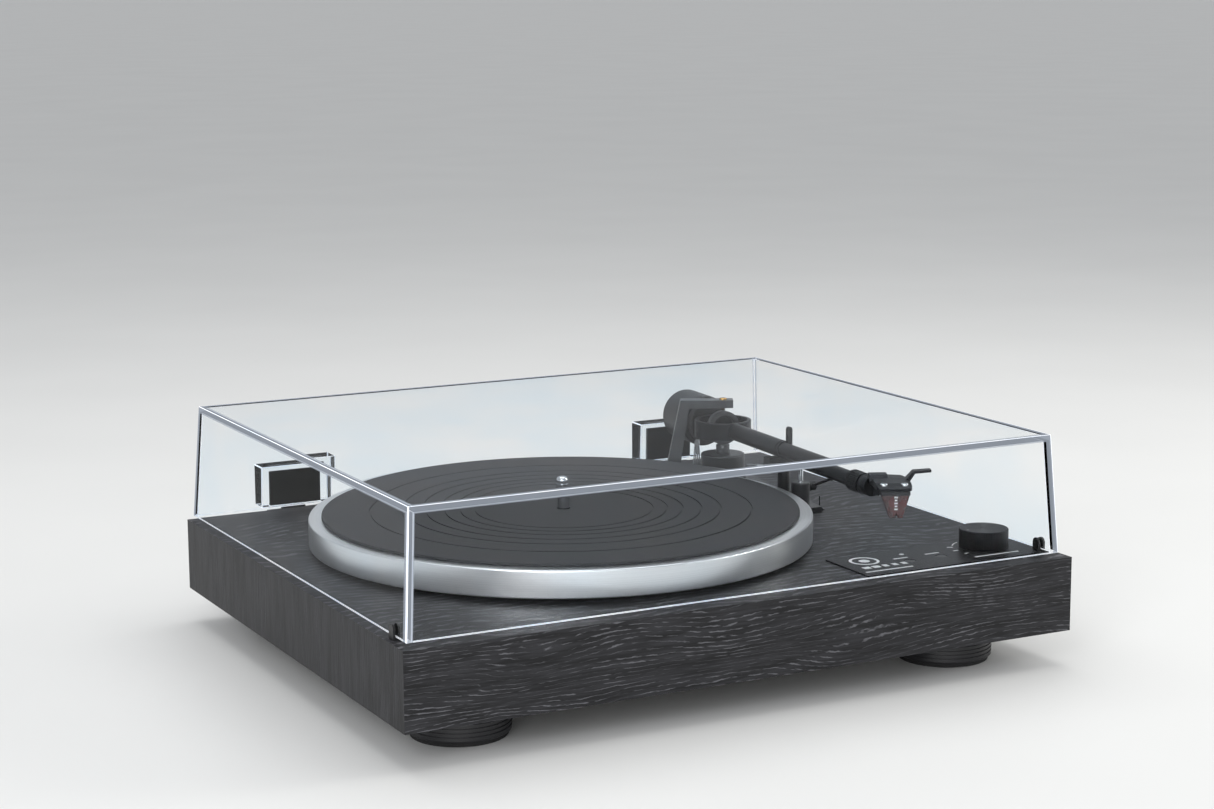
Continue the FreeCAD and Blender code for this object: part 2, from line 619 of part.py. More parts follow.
def arm_rest_post():
    """A post with an open cradle that the parked arm lies over."""
    at = on_arm(PIVOT_Y - REST_Y)
    post = rod(REST_X, REST_Y, DECK + 1.5, ARM_Z - 12, 4.0)
    block = box(at.x - 8, at.x + 12, REST_Y - 4, REST_Y + 4, ARM_Z - 12, ARM_Z - 1)
    cradle = rod_along(V(at.x, REST_Y - 6, ARM_Z), V(0, 1, 0), 12, 5.75 + FREE + 0.2)
    lane = box(at.x - 9, at.x, REST_Y - 6, REST_Y + 6, ARM_Z - 5.75 - FREE - 0.2, ARM_Z + 5)
    pin_hole = rod_along(V(at.x + 9, REST_Y - 6, ARM_Z - 5), V(0, 1, 0), 12, 1.2 + RUN)
    slot = box(at.x + 6.5, at.x + 13, REST_Y - 1.6, REST_Y + 1.6, ARM_Z - 8.5, ARM_Z)
    return cut(fuse([post, block]), [cradle, lane, pin_hole, slot])


def arm_rest_clip():
    """A flat tongue on a pin that swings up beside the arm and over it."""
    at = on_arm(PIVOT_Y - REST_Y)
    x = at.x + 9
    tongue = box(x - 1.8, x + 1.8, REST_Y - 1.3, REST_Y + 1.3, ARM_Z - 5, ARM_Z + 11)
    cap = rod_along(V(x, REST_Y - 1.3, ARM_Z + 11), V(0, 1, 0), 2.6, 1.8)
    eye = rod_along(V(x, REST_Y - 1.3, ARM_Z - 5), V(0, 1, 0), 2.6, 1.8)
    pin = rod_along(V(x, REST_Y - 4, ARM_Z - 5), V(0, 1, 0), 8, 1.2)
    return fuse([tongue, cap, eye, pin])


LIFT_ROD_R = 1.6
LIFT_TOP = DECK + 20.0
LEVER_Z = DECK + 16.5
LIFT_BAR_REACH = 36.0
LIFT_BAR_TOP = ARM_Z - 5.75 - FREE - 0.2


def lift_cylinder():
    body = rod(LIFT_X, LIFT_Y, DECK + 1.5, LIFT_TOP, LIFT_R)
    body = soften_circles(body, LIFT_R, (LIFT_TOP,), 0.8)
    bore = rod(LIFT_X, LIFT_Y, DECK + 6, LIFT_TOP + 1, LIFT_ROD_R + RUN)
    side = rod_along(V(LIFT_X, LIFT_Y, LEVER_Z), V(1, 0, 0), 7.5, 3.2)
    lever_bore = rod_along(V(LIFT_X + 4, LIFT_Y, LEVER_Z), V(1, 0, 0), 10, 1.8 + RUN)
    return cut(fuse([body, side]), [bore, lever_bore])


def lift_bar():
    """The chrome rod of the cue lift and the bar it raises under the arm, on an arc round the pivot."""
    stem = rod(LIFT_X, LIFT_Y, DECK + 12, LIFT_BAR_TOP - 2, LIFT_ROD_R)
    sweep = PIVOT_Y - LIFT_Y
    arc = tube(PIVOT_X, PIVOT_Y, LIFT_BAR_TOP - 2.2, LIFT_BAR_TOP, sweep + 1.5, sweep - 1.5)
    lane = box(LIFT_X - LIFT_BAR_REACH, LIFT_X + 2.5, LIFT_Y - 12, LIFT_Y + 12,
               LIFT_BAR_TOP - 3, LIFT_BAR_TOP + 1)
    return fuse([stem, arc.common(lane)])


def cue_lever():
    """The lever that works the lift, with a light knob on its end."""
    hub_x = LIFT_X + 4.3
    axle = rod_along(V(hub_x, LIFT_Y, LEVER_Z), V(1, 0, 0), 5, 1.8)
    cheek = rod_along(V(hub_x + 3.5, LIFT_Y, LEVER_Z), V(1, 0, 0), 2.8, 3.0)
    start = V(hub_x + 4.9, LIFT_Y, LEVER_Z)
    tip = start + V(3.5, -17, 7.5)
    arm = rod_along(start, tip - start, (tip - start).Length, 1.0)
    knob = rod_along(tip, tip - start, 6, 1.6)
    return fuse([axle, cheek, arm, knob])


# ---- tonearm ------------------------------------------------------------------------------
TUBE_R = 4.75
REAR_TUBE_R = 5.75
STEP_AT = 85.0
LOCK_FROM = 176.0
LOCK_TO = 189.0
LOCK_R = 6.7
STUB_R = 4.5
WEIGHT_FROM = 27.0
WEIGHT_LEN = 32.0
WEIGHT_R = 17.5
DIAL_LEN = 6.0
PIN_R = 1.2
PLATE_Z = MAT_TOP + 17.3     # underside of the headshell's plate
PLATE_T = 1.6               # its thickness at the front edge
PLATE_RISE = 3.6            # and over the screws
SCREW_SEAT_Z = PLATE_Z + 2.4


def gimbal_ring():
    ring = tube(PIVOT_X, PIVOT_Y, ARM_Z - RING_H / 2, ARM_Z + RING_H / 2, RING_R, RING_R - RING_WALL)
    ring = soften_circles(ring, RING_R, (ARM_Z + RING_H / 2,), 0.5)
    return ring.cut(rod_along(on_arm(0, -30), ARM_SIDE, 60, PIN_R + RUN))


def gimbal_hoop():
    """The upright hoop that turns in yaw; its side pins carry the ring in pitch."""
    start = on_arm(-HOOP_T / 2)
    hoop = rod_along(start, ARM, HOOP_T, HOOP_R).cut(rod_along(on_arm(-9), ARM, 18, HOOP_BORE))
    pins = []
    for sign in (-1, 1):
        root = on_arm(0, sign * (HOOP_BORE + 0.8))
        pins.append(rod_along(root, ARM_SIDE * sign, RING_R - HOOP_BORE - 1.2, PIN_R))
    return fuse([hoop] + pins)


def arm_tube():
    """The black arm tube, thicker near its pivot, with a plug that fills the ring's front."""
    ring_face = rod(PIVOT_X, PIVOT_Y, ARM_Z - 20, ARM_Z + 20, RING_R)
    rear_part = rod_along(on_arm(RING_R - 4), ARM, STEP_AT - RING_R + 4, REAR_TUBE_R - 0.06)
    collar = rod_along(on_arm(STEP_AT), ARM, 2.5, REAR_TUBE_R - 0.4)
    front_part = rod_along(on_arm(STEP_AT), ARM, LOCK_TO + 2 - STEP_AT, TUBE_R)
    bore = rod_along(on_arm(RING_R + 8), ARM, LOCK_TO, TUBE_R - 1.2)
    whole = fuse([rear_part, collar, front_part])
    neck = rod_along(on_arm(LOCK_FROM - 1), ARM, LOCK_TO - LOCK_FROM + 2, LOCK_R + 3)
    neck = neck.cut(rod_along(on_arm(LOCK_FROM - 2), ARM, LOCK_TO - LOCK_FROM + 4, TUBE_R - 0.4))
    return cut(whole, [ring_face, bore, neck])


def arm_stub():
    """The rear stub that the counterweight turns on."""
    ring_face = rod(PIVOT_X, PIVOT_Y, ARM_Z - 20, ARM_Z + 20, RING_R)
    length = WEIGHT_FROM + WEIGHT_LEN + 6 - RING_R
    return rod_along(on_arm(-RING_R + 4), ARM * -1, length, STUB_R).cut(ring_face)


def locking_ring():
    """The knurled collar that draws the headshell onto the tube."""
    ring = rod_along(on_arm(LOCK_FROM), ARM, LOCK_TO - LOCK_FROM, LOCK_R)
    ring = ring.cut(rod_along(on_arm(LOCK_FROM - 1), ARM, 20, TUBE_R - 0.35))
    start = on_arm(LOCK_FROM + 2.5)
    teeth = []
    for k in range(24):
        tooth = rod_along(start + ARM_SIDE * (LOCK_R + 0.15), ARM, 8.5, 0.5)
        teeth.append(tooth.rotated(start, ARM, 15 * k))
    return cut(ring, teeth)


def headshell():
    """The plate over the cartridge, rising to the back, with its neck, round socket and finger lift."""
    socket = rod_along(on_arm(LOCK_TO + FREE), ARM, 9.0, 6.2)
    socket_bore = rod_along(on_arm(LOCK_TO - 2), ARM, 4.4, TUBE_R + 0.05)
    slope = [(-4.5, PLATE_Z), (-4.5, PLATE_Z + PLATE_T), (-11.5, PLATE_Z + PLATE_RISE), (-28, PLATE_Z + 4.6),
             (-34.5, PLATE_Z + 4.6), (-34.5, PLATE_Z)]
    outline = head_prism([(-4.5, -9.6), (-4.5, 9.6), (-7.5, 10.6), (-22, 10.6), (-31, 7.0), (-34, -4.0),
                          (-30, -13.0), (-20, -11.5), (-7.5, -10.6)], PLATE_Z, PLATE_Z + 6)
    plate = head_slab(slope, -14, 12).common(outline)
    ridge = [(-21, PLATE_Z + 3), (-25, PLATE_Z + 6.2), (-30, PLATE_Z + 6.6), (-34, PLATE_Z + 3)]
    neck = head_slab(ridge, -13, -2)
    web = head_prism([(-28, -10.4), (-28, -1.9), (-35, -5.9), (-35, -13.9)], ARM_Z - 5.5, PLATE_Z + 1)
    body = fuse([socket, plate, neck, web, finger_lift()])
    seats = [rod(p.x, p.y, SCREW_SEAT_Z, PLATE_Z + 8, 2.9) for p in cartridge_screw_places()]
    holes = [rod(p.x, p.y, PLATE_Z - 3, PLATE_Z + 6, 1.3) for p in cartridge_screw_places()]
    return cut(body, holes + seats + [socket_bore])


def head_slab(side_view, left, right):
    """A side view of (ahead, z) points, stretched across the headshell from left to right."""
    face = Part.Face(Part.makePolygon([on_head(a, left, z) for a, z in side_view + side_view[:1]]))
    return face.extrude(HEAD_SIDE * (right - left))


def finger_lift():
    """A flat finger that leaves the plate's right edge, climbs and runs out level."""
    path = [(8.5, PLATE_Z + 2.0), (10.4, PLATE_Z + 2.0), (14.2, PLATE_Z + 7.6), (24.0, PLATE_Z + 8.4),
            (24.0, PLATE_Z + 9.8), (13.2, PLATE_Z + 9.2), (8.5, PLATE_Z + 4.2)]
    face = Part.Face(Part.makePolygon([on_head(-25, s, z) for s, z in path + path[:1]]))
    return face.extrude(HEAD * 6.0)


def cartridge_screw_places():
    return [on_head(-9.5, side, PLATE_Z) for side in (-6.35, 6.35)]


def cartridge_screws():
    return Part.makeCompound([pan_head_screw(p.x, p.y, SCREW_SEAT_Z, 4.2, 1.25)
                              for p in cartridge_screw_places()])


BAND_H = 2.1


def head_wedge(lower, z0, upper, z1):
    return flat_sided([on_head(a, s, z0) for a, s in lower], [on_head(a, s, z1) for a, s in upper])


def cartridge_body():
    """The dark body under the headshell: a flat band, then a block narrowing downwards."""
    outline = [(-1.6, -8.7), (-1.6, 8.7), (-24, 8.7), (-24, -8.7)]
    band = head_prism(outline, PLATE_Z - BAND_H, PLATE_Z)
    rear = head_wedge([(-12.5, -4.0), (-12.5, 4.0), (-22, 4.0), (-22, -4.0)], MAT_TOP + 4.4,
                        [(-12.5, -8.0), (-12.5, 8.0), (-23, 8.0), (-23, -8.0)], PLATE_Z - BAND_H)
    pins = [rod_along(on_head(-20, s, z), HEAD * -1, 8, 0.6)
            for s in (-3, 3) for z in (PLATE_Z - 6.5, PLATE_Z - 9.5)]
    body = fuse([band, rear] + pins)
    return cut(body, [rod(p.x, p.y, PLATE_Z - 4, PLATE_Z + 1, 1.25) for p in cartridge_screw_places()])


def stylus_holder():
    """The dark red front that pulls off with the stylus, notched at its foot."""
    top = PLATE_Z - BAND_H
    wedge = head_wedge([(-2.2, -3.6), (-2.2, 4.2), (-12.4, 4.2), (-12.4, -3.6)], MAT_TOP + 1.4,
                       [(-1.8, -8.4), (-1.8, 8.4), (-12.4, 8.4), (-12.4, -8.4)], top)
    notch = Part.Face(Part.makePolygon([on_head(0, s, z) for s, z in
                                        ((-0.6, MAT_TOP), (1.6, MAT_TOP), (0.5, MAT_TOP + 4.4),
                                         (-0.6, MAT_TOP))]))
    return wedge.cut(notch.extrude(HEAD * -9.0))


def cantilever():
    """The fine tube that carries the diamond, from inside the holder to the tip."""
    root = on_head(-9.0, 0.4, MAT_TOP + 3.2)
    end = on_head(-0.4, 0.0, MAT_TOP + 1.5)
    stem = rod_along(root, end - root, (end - root).Length, 0.35)
    diamond = Part.makeCone(0.08, 0.35, 0.9, V(STYLUS.x, STYLUS.y, STYLUS.z) + HEAD * -0.6)
    return fuse([stem, diamond])


def counterweight():
    start = on_arm(-WEIGHT_FROM)
    body = rod_along(start, ARM * -1, WEIGHT_LEN, WEIGHT_R)
    ends = edges_where(body, lambda e: isinstance(e.Curve, Part.Circle))
    body = body.makeFillet(1.6, ends)
    return body.cut(rod_along(on_arm(0), ARM * -1, 90, STUB_R + RUN))


def force_dial():
    """The numbered ring in front of the counterweight that sets the tracking force."""
    start = on_arm(-WEIGHT_FROM + DIAL_LEN + FREE)
    ring = rod_along(start, ARM * -1, DIAL_LEN, 14.0)
    ends = edges_where(ring, lambda e: isinstance(e.Curve, Part.Circle))
    ring = ring.makeFillet(0.5, ends)
    ring = ring.cut(rod_along(on_arm(0), ARM * -1, 60, STUB_R + RUN))
    return ring.cut(rod(PIVOT_X, PIVOT_Y, ARM_Z - 20, ARM_Z + 20, RING_R + FREE))


# ---- lid and hinges -----------------------------------------------------------------------
def lid_outline(z, inset):
    """The lid's outer corners at a height, drawn in by an inset on every side."""
    lean = LID_DRAFT * (z - DECK - LID_GAP) / (LID_TOP - DECK - LID_GAP)
    x = PLINTH_W / 2 - LID_SIDE_INSET - lean - inset
    y0 = FRONT + LID_FRONT_INSET + lean + inset
    y1 = REAR + LID_REAR_OUT - lean - inset
    return [V(-x, y0, z), V(x, y0, z), V(x, y1, z), V(-x, y1, z)]


def lid_block(z0, z1, inset):
    return flat_sided(lid_outline(z0, inset), lid_outline(z1, inset))


def lid_shell():
    low = DECK + LID_GAP
    outer = lid_block(low, LID_TOP, 0)
    return outer.cut(lid_block(low - 1, LID_TOP - LID_WALL, LID_WALL))


SOCKET_W = 49.0
SOCKET_Z = (DECK + 2.0, DECK + 29.3)
LEG_W = 35.0
LEG_Z1 = DECK + 25.4
LEG_T = 3.0
LEG_Y = REAR + 7.4


def outside_lid(shape):
    return shape.cut(lid_block(DECK - 20, LID_TOP + 20, 0))


def hinge_socket(x):
    """A clear pocket cemented on the back of the lid; the hinge leg slides up into it."""
    z0, z1 = SOCKET_Z
    block = centred_box(x, REAR + HINGE_OVERHANG / 2, SOCKET_W, HINGE_OVERHANG, z0, z1)
    slot = centred_box(x, LEG_Y, LEG_W, LEG_T, z0 - 1, LEG_Z1)
    return outside_lid(block).cut(slot)


PIN_HINGE_R = 2.0
KNUCKLE_R = 4.6


def hinge_leg(x):
    """The sprung blade that carries the lid, with a middle knuckle round the hinge pin."""
    blade = centred_box(x, LEG_Y, LEG_W, LEG_T, HINGE_PIN_Z, LEG_Z1)
    knuckle = rod_along(V(x - 8, HINGE_PIN_Y, HINGE_PIN_Z), V(1, 0, 0), 16, KNUCKLE_R)
    low_cut = [box(x + s * 13 - 5, x + s * 13 + 5, LEG_Y - 9, LEG_Y + 9, HINGE_PIN_Z - 6, HINGE_PIN_Z + 6)
               for s in (-1, 1)]
    bore = rod_along(V(x - 20, HINGE_PIN_Y, HINGE_PIN_Z), V(1, 0, 0), 40, PIN_HINGE_R + RUN)
    return cut(fuse([cut(blade, low_cut), knuckle]), [bore])


def hinge_screw_z(k):
    return DECK - 14.0 - 12.0 * k


def hinge_base(x):
    """The plate on the back of the wood, with two outer knuckles."""
    plate = box(x - 17.5, x + 17.5, REAR, REAR + 2.5, DECK - 32, DECK - 1)
    knuckles = []
    for start in (x - 17.5, x + 8.3):
        knuckles.append(rod_along(V(start, HINGE_PIN_Y, HINGE_PIN_Z), V(1, 0, 0), 9.2, KNUCKLE_R))
        knuckles.append(box(start, start + 9.2, REAR, HINGE_PIN_Y, HINGE_PIN_Z - KNUCKLE_R, HINGE_PIN_Z))
    bore = rod_along(V(x - 20, HINGE_PIN_Y, HINGE_PIN_Z), V(1, 0, 0), 40, PIN_HINGE_R)
    holes = [rod_along(V(x + dx, REAR - 1, hinge_screw_z(k)), V(0, 1, 0), 6, 1.8)
             for dx in (-12, 12) for k in (0, 1)]
    clear = rod_along(V(x - 8.3, HINGE_PIN_Y, HINGE_PIN_Z), V(1, 0, 0), 16.6, KNUCKLE_R + FREE)
    return cut(fuse([plate] + knuckles), [bore, clear] + holes)


def hinge_pins():
    pins = [rod_along(V(x - 17.5, HINGE_PIN_Y, HINGE_PIN_Z), V(1, 0, 0), 35, PIN_HINGE_R) for x in HINGE_X]
    return Part.makeCompound(pins)


def hinge_screws():
    screws = []
    for x in HINGE_X:
        for dx in (-12, 12):
            for k in (0, 1):
                at = V(x + dx, REAR + 2.5, hinge_screw_z(k))
                head = Part.makeCylinder(3.2, 1.8, at, V(0, 1, 0))
                head = head.makeFillet(0.7, edges_where(head, lambda e: e.BoundBox.YMin > REAR + 4.2))
                screws.append(head.fuse(Part.makeCylinder(1.8, 14, at, V(0, -1, 0))))
    return Part.makeCompound(screws)


CLIP_W = 6.0
CLIP_T = 1.4
CLIP_UP = 8.5


def lid_clip(side):
    """A springy black clip pushed on the lid's lower edge; the closed lid stands on it."""
    edge = lid_outline(DECK + LID_GAP, 0)[1].x
    inner = edge - LID_WALL
    low = DECK + 0.02
    foot_pad = box(inner - CLIP_T, edge + CLIP_T, CLIP_Y - CLIP_W / 2, CLIP_Y + CLIP_W / 2,
                   low, DECK + LID_GAP)
    tongues = []
    for x in (inner - CLIP_T, edge):
        flat = box(x, x + CLIP_T, CLIP_Y - CLIP_W / 2, CLIP_Y + CLIP_W / 2,
                   DECK + LID_GAP - 0.5, low + CLIP_UP - 3)
        cap = rod_along(V(x, CLIP_Y, low + CLIP_UP - 3), V(1, 0, 0), CLIP_T, CLIP_W / 2)
        tongues.append(fuse([flat, cap]))
    clip = fuse([foot_pad] + tongues).cut(lid_shell())
    return clip if side > 0 else clip.mirror(V(0, 0, 0), V(1, 0, 0))


# ---- write every piece --------------------------------------------------------------------
PIECES = {
    "plinth_case": plinth_case, "bottom_cover": bottom_cover, "tray_screws": tray_screws,
    "foot_pads": foot_pads, "bearing_housing": bearing_housing, "bearing_bush": bearing_bush,
    "thrust_ball": thrust_ball, "platter": platter,
    "platter_mat": platter_mat, "sub_platter": sub_platter, "spindle_shaft": spindle_shaft,
    "motor_body": motor_body, "motor_grommets": motor_grommets, "machine_screws": machine_screws,
    "motor_pulley": motor_pulley, "drive_belt": drive_belt, "circuit_board": circuit_board,
    "connector_plate": connector_plate, "output_jacks": output_jacks, "dc_inlet": dc_inlet,
    "control_panel": control_panel, "control_board": control_board, "speed_knob": speed_knob,
    "arm_base": arm_base, "arm_bracket": arm_bracket, "upper_pivot_screw": upper_pivot_screw,
    "lower_pivot_cup": lower_pivot_cup, "arm_leads": arm_leads, "arm_rest_post": arm_rest_post,
    "arm_rest_clip": arm_rest_clip, "lift_cylinder": lift_cylinder, "lift_bar": lift_bar,
    "cue_lever": cue_lever, "gimbal_ring": gimbal_ring, "gimbal_hoop": gimbal_hoop,
    "arm_tube": arm_tube, "arm_stub": arm_stub, "locking_ring": locking_ring,
    "headshell": headshell, "cartridge_screws": cartridge_screws, "cartridge_body": cartridge_body,
    "stylus_holder": stylus_holder, "cantilever": cantilever, "counterweight": counterweight,
    "force_dial": force_dial, "lid_shell": lid_shell, "hinge_pins": hinge_pins,
    "hinge_screws": hinge_screws,
}

for piece_name, make in PIECES.items():
    save(make(), piece_name)
for foot_name, (foot_x, foot_y) in foot_places().items():
    save(foot(foot_x, foot_y), foot_name)
for button_name, (button_x, button_y) in BUTTONS.items():
    save(push_button(button_x, button_y), button_name)
for side_name, hinge_x in zip(("left", "right"), HINGE_X):
    save(hinge_leg(hinge_x), "hinge_leg_" + side_name)
    save(hinge_base(hinge_x), "hinge_base_" + side_name)
save(Part.makeCompound([hinge_socket(x) for x in HINGE_X]), "hinge_sockets")
save(Part.makeCompound([lid_clip(-1), lid_clip(1)]), "lid_clips")
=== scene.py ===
"""Looks of a belt-drive record player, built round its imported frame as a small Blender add-on."""

import json
import math

import bmesh
import bpy
from bpy.props import FloatProperty, FloatVectorProperty, PointerProperty
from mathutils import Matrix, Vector

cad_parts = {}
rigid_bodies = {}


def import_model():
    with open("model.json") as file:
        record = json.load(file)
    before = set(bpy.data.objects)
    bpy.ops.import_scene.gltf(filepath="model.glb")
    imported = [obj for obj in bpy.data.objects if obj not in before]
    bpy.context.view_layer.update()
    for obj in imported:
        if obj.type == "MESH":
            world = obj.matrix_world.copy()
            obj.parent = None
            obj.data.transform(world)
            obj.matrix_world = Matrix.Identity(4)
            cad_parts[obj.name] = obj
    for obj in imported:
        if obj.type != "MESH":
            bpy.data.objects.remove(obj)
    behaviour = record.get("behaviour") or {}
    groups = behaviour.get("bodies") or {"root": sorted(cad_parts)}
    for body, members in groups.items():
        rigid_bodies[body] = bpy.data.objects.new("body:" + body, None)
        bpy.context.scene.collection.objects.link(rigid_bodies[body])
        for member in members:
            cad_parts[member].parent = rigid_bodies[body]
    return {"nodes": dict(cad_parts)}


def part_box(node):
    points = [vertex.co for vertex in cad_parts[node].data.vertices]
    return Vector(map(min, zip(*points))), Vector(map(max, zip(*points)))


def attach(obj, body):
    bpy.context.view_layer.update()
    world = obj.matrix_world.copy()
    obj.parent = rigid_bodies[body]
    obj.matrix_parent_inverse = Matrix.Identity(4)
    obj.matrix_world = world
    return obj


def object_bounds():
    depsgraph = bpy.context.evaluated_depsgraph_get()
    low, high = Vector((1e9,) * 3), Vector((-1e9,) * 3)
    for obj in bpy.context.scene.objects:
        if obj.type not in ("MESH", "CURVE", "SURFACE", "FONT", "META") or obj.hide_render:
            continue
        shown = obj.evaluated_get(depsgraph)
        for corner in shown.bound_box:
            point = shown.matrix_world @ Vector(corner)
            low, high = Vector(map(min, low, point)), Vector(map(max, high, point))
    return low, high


bl_info = {
    "name": "Record Player Looks",
    "version": (1, 0, 0),
    "blender": (4, 5, 0),
    "location": "View3D > Sidebar > Record Player",
    "description": "Finishes, printed marks and stage of a belt-drive record player",
    "category": "Object",
}

for stray in list(bpy.data.objects):
    bpy.data.objects.remove(stray)
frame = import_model()
CAD_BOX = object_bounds()
NODES = frame["nodes"]
MM = 0.001


# ---- colours and nodes --------------------------------------------------------------------
def linear(hex_colour):
    """An sRGB hex colour such as "#8a8c90", as the linear colour that shaders use."""
    values = [int(hex_colour[i:i + 2], 16) / 255 for i in (1, 3, 5)]
    turned = [v / 12.92 if v <= 0.04045 else ((v + 0.055) / 1.055) ** 2.4 for v in values]
    return (*turned, 1.0)


def feed(tree, node, inputs):
    """Sets a node's inputs, each to a value or to what another node gives."""
    for name, value in inputs.items():
        if isinstance(value, bpy.types.NodeSocket):
            tree.links.new(value, node.inputs[name])
        else:
            node.inputs[name].default_value = value


def add_node(tree, kind, inputs=None, output=0, **settings):
    """Adds a shader node of a kind, with its inputs and settings, and returns one of its outputs."""
    node = tree.nodes.new("ShaderNode" + kind)
    for name, value in settings.items():
        setattr(node, name, value)
    feed(tree, node, inputs or {})
    return node.outputs[output]


def new_material(name):
    """A material with its tree and its one Principled shader."""
    material = bpy.data.materials.new(name)
    material.use_nodes = True
    return material, material.node_tree, material.node_tree.nodes["Principled BSDF"]


def colour_between(tree, pattern, dark, light, low=0.3, high=0.7):
    """A colour that goes from dark to light as a pattern goes from low to high."""
    share = add_node(tree, "MapRange", {"Value": pattern, "From Min": low, "From Max": high})
    return add_node(tree, "Mix", {0: share, 6: dark, 7: light}, output=2, data_type="RGBA")


def texture(tree, shader, pattern, smoothest, roughest, depth, strength):
    """Lets a pattern vary the roughness between two values and raise the surface by depth."""
    feed(tree, shader, {
        "Roughness": add_node(tree, "MapRange", {"Value": pattern, "To Min": smoothest, "To Max": roughest}),
        "Normal": add_node(tree, "Bump", {"Height": pattern, "Distance": depth, "Strength": strength}),
    })


# ---- finishes -----------------------------------------------------------------------------
# Grit, grain and tool marks are drawn a third of a millimetre to a millimetre wide. The real ones
# are finer, but wouldn't show.
def stained_oak(look):
    """Black-stained oak veneer, open-pored and oiled: pale pore dashes follow the wandering grain.
    The front, back and top have it lying along X; the short sides have it standing up."""
    material, tree, shader = new_material("stained_oak_veneer")
    place = add_node(tree, "TexCoord", output="Object")
    facing = add_node(tree, "NewGeometry", output="Normal")
    x, y, z = add_node(tree, "SeparateXYZ", {"Vector": place}).node.outputs
    facing_x, _, facing_z = add_node(tree, "SeparateXYZ", {"Vector": facing}).node.outputs
    sideways = add_node(tree, "Math", {0: facing_x}, operation="ABSOLUTE")
    on_side = add_node(tree, "Math", {0: sideways, 1: 0.5}, operation="GREATER_THAN")
    on_top = add_node(tree, "Math", {0: facing_z, 1: 0.5}, operation="GREATER_THAN")

    # A place in the wood is along the grain, across it and into the board. The top board's veneer
    # is cut flatter than the rest, so its figure is broader.
    flatness = add_node(tree, "Math", {0: on_top, 1: -0.68, 2: 1.0}, operation="MULTIPLY_ADD")
    up_and_back = add_node(tree, "Math", {0: z, 1: y}, operation="ADD")
    lying_across = add_node(tree, "Math", {0: up_and_back, 1: flatness}, operation="MULTIPLY")
    lying = add_node(tree, "CombineXYZ", {"X": x, "Y": lying_across})
    inward = add_node(tree, "Math", {0: x, 1: 3.0}, operation="MULTIPLY")
    standing = add_node(tree, "CombineXYZ", {"X": z, "Y": y, "Z": inward})
    grain = add_node(tree, "Mix", {0: on_side, 4: lying, 5: standing}, output=1, data_type="VECTOR")
    along, across, into = add_node(tree, "SeparateXYZ", {"Vector": grain}).node.outputs

    def figure(length, width, detail):
        """Lumps of this length along the grain and this width across it."""
        shrunk = add_node(tree, "VectorMath", {0: grain, 1: (1 / length, 1 / width, 1.0)},
                          operation="MULTIPLY")
        return add_node(tree, "TexNoise", {"Vector": shrunk, "Scale": 1.0, "Detail": detail,
                                           "Roughness": 0.5})

    # The rings are even waves across a grain that sways three times: in long arches, in short
    # bends and in a fine shiver.
    flow = across
    for length, width, reach in ((look.sway_length, 0.32 * look.sway_length, look.sway_height),
                                 (12 * MM, 4 * MM, 1.6 * MM), (2.5 * MM, 1.2 * MM, 0.7 * MM)):
        sway = add_node(tree, "Math", {0: figure(length, width, 1.0), 1: 0.5}, operation="SUBTRACT")
        flow = add_node(tree, "Math", {0: sway, 1: reach, 2: flow}, operation="MULTIPLY_ADD")
    turns = add_node(tree, "Math", {0: flow, 1: 2 * math.pi / look.ring_width}, operation="MULTIPLY")
    ring = add_node(tree, "Math", {0: turns}, operation="SINE")

    # The pores lie where a ring passes its limit. In patches, as where the log's arches meet the
    # surface, and all over the top, the limit is lower and the lines of pores are broader. Over the top
    # this is partly real pores and partly painted sheen: the top's grain drawn lighter, as where light
    # glances off it.
    patches = figure(55 * MM, 12 * MM, 2.0)
    patchy = add_node(tree, "MapRange", {"Value": patches, "From Min": 0.45, "From Max": 0.7, "To Min": 0.87,
                                         "To Max": 0.35})
    limit = add_node(tree, "Math", {0: on_top, 1: -0.4, 2: patchy}, operation="MULTIPLY_ADD")
    past = add_node(tree, "Math", {0: ring, 1: limit}, operation="SUBTRACT")
    line = add_node(tree, "MapRange", {"Value": past, "From Min": 0.0, "From Max": 0.3})

    # Each line is broken into dashes, which follow the sway as well.
    dash_along = add_node(tree, "Math", {0: along, 1: look.pore_length}, operation="DIVIDE")
    dash_across = add_node(tree, "Math", {0: flow, 1: look.pore_width}, operation="DIVIDE")
    dash_place = add_node(tree, "CombineXYZ", {"X": dash_along, "Y": dash_across, "Z": into})
    dashes = add_node(tree, "TexNoise", {"Vector": dash_place, "Scale": 1.0, "Detail": 1.5, "Roughness": 0.5})
    broken = add_node(tree, "MapRange", {"Value": dashes, "From Min": 0.43, "From Max": 0.54})
    pores = add_node(tree, "Math", {0: line, 1: broken}, operation="MULTIPLY")

    streaks = figure(25 * MM, 1.2 * MM, 3.0)
    bands = add_node(tree, "Math", {0: figure(40 * MM, 5 * MM, 3.0), 1: 0.5}, operation="SUBTRACT")
    tone = add_node(tree, "Math", {0: bands, 1: 1.1, 2: streaks}, operation="MULTIPLY_ADD")
    ground = colour_between(tree, tone, look.stain_dark, look.stain_light)
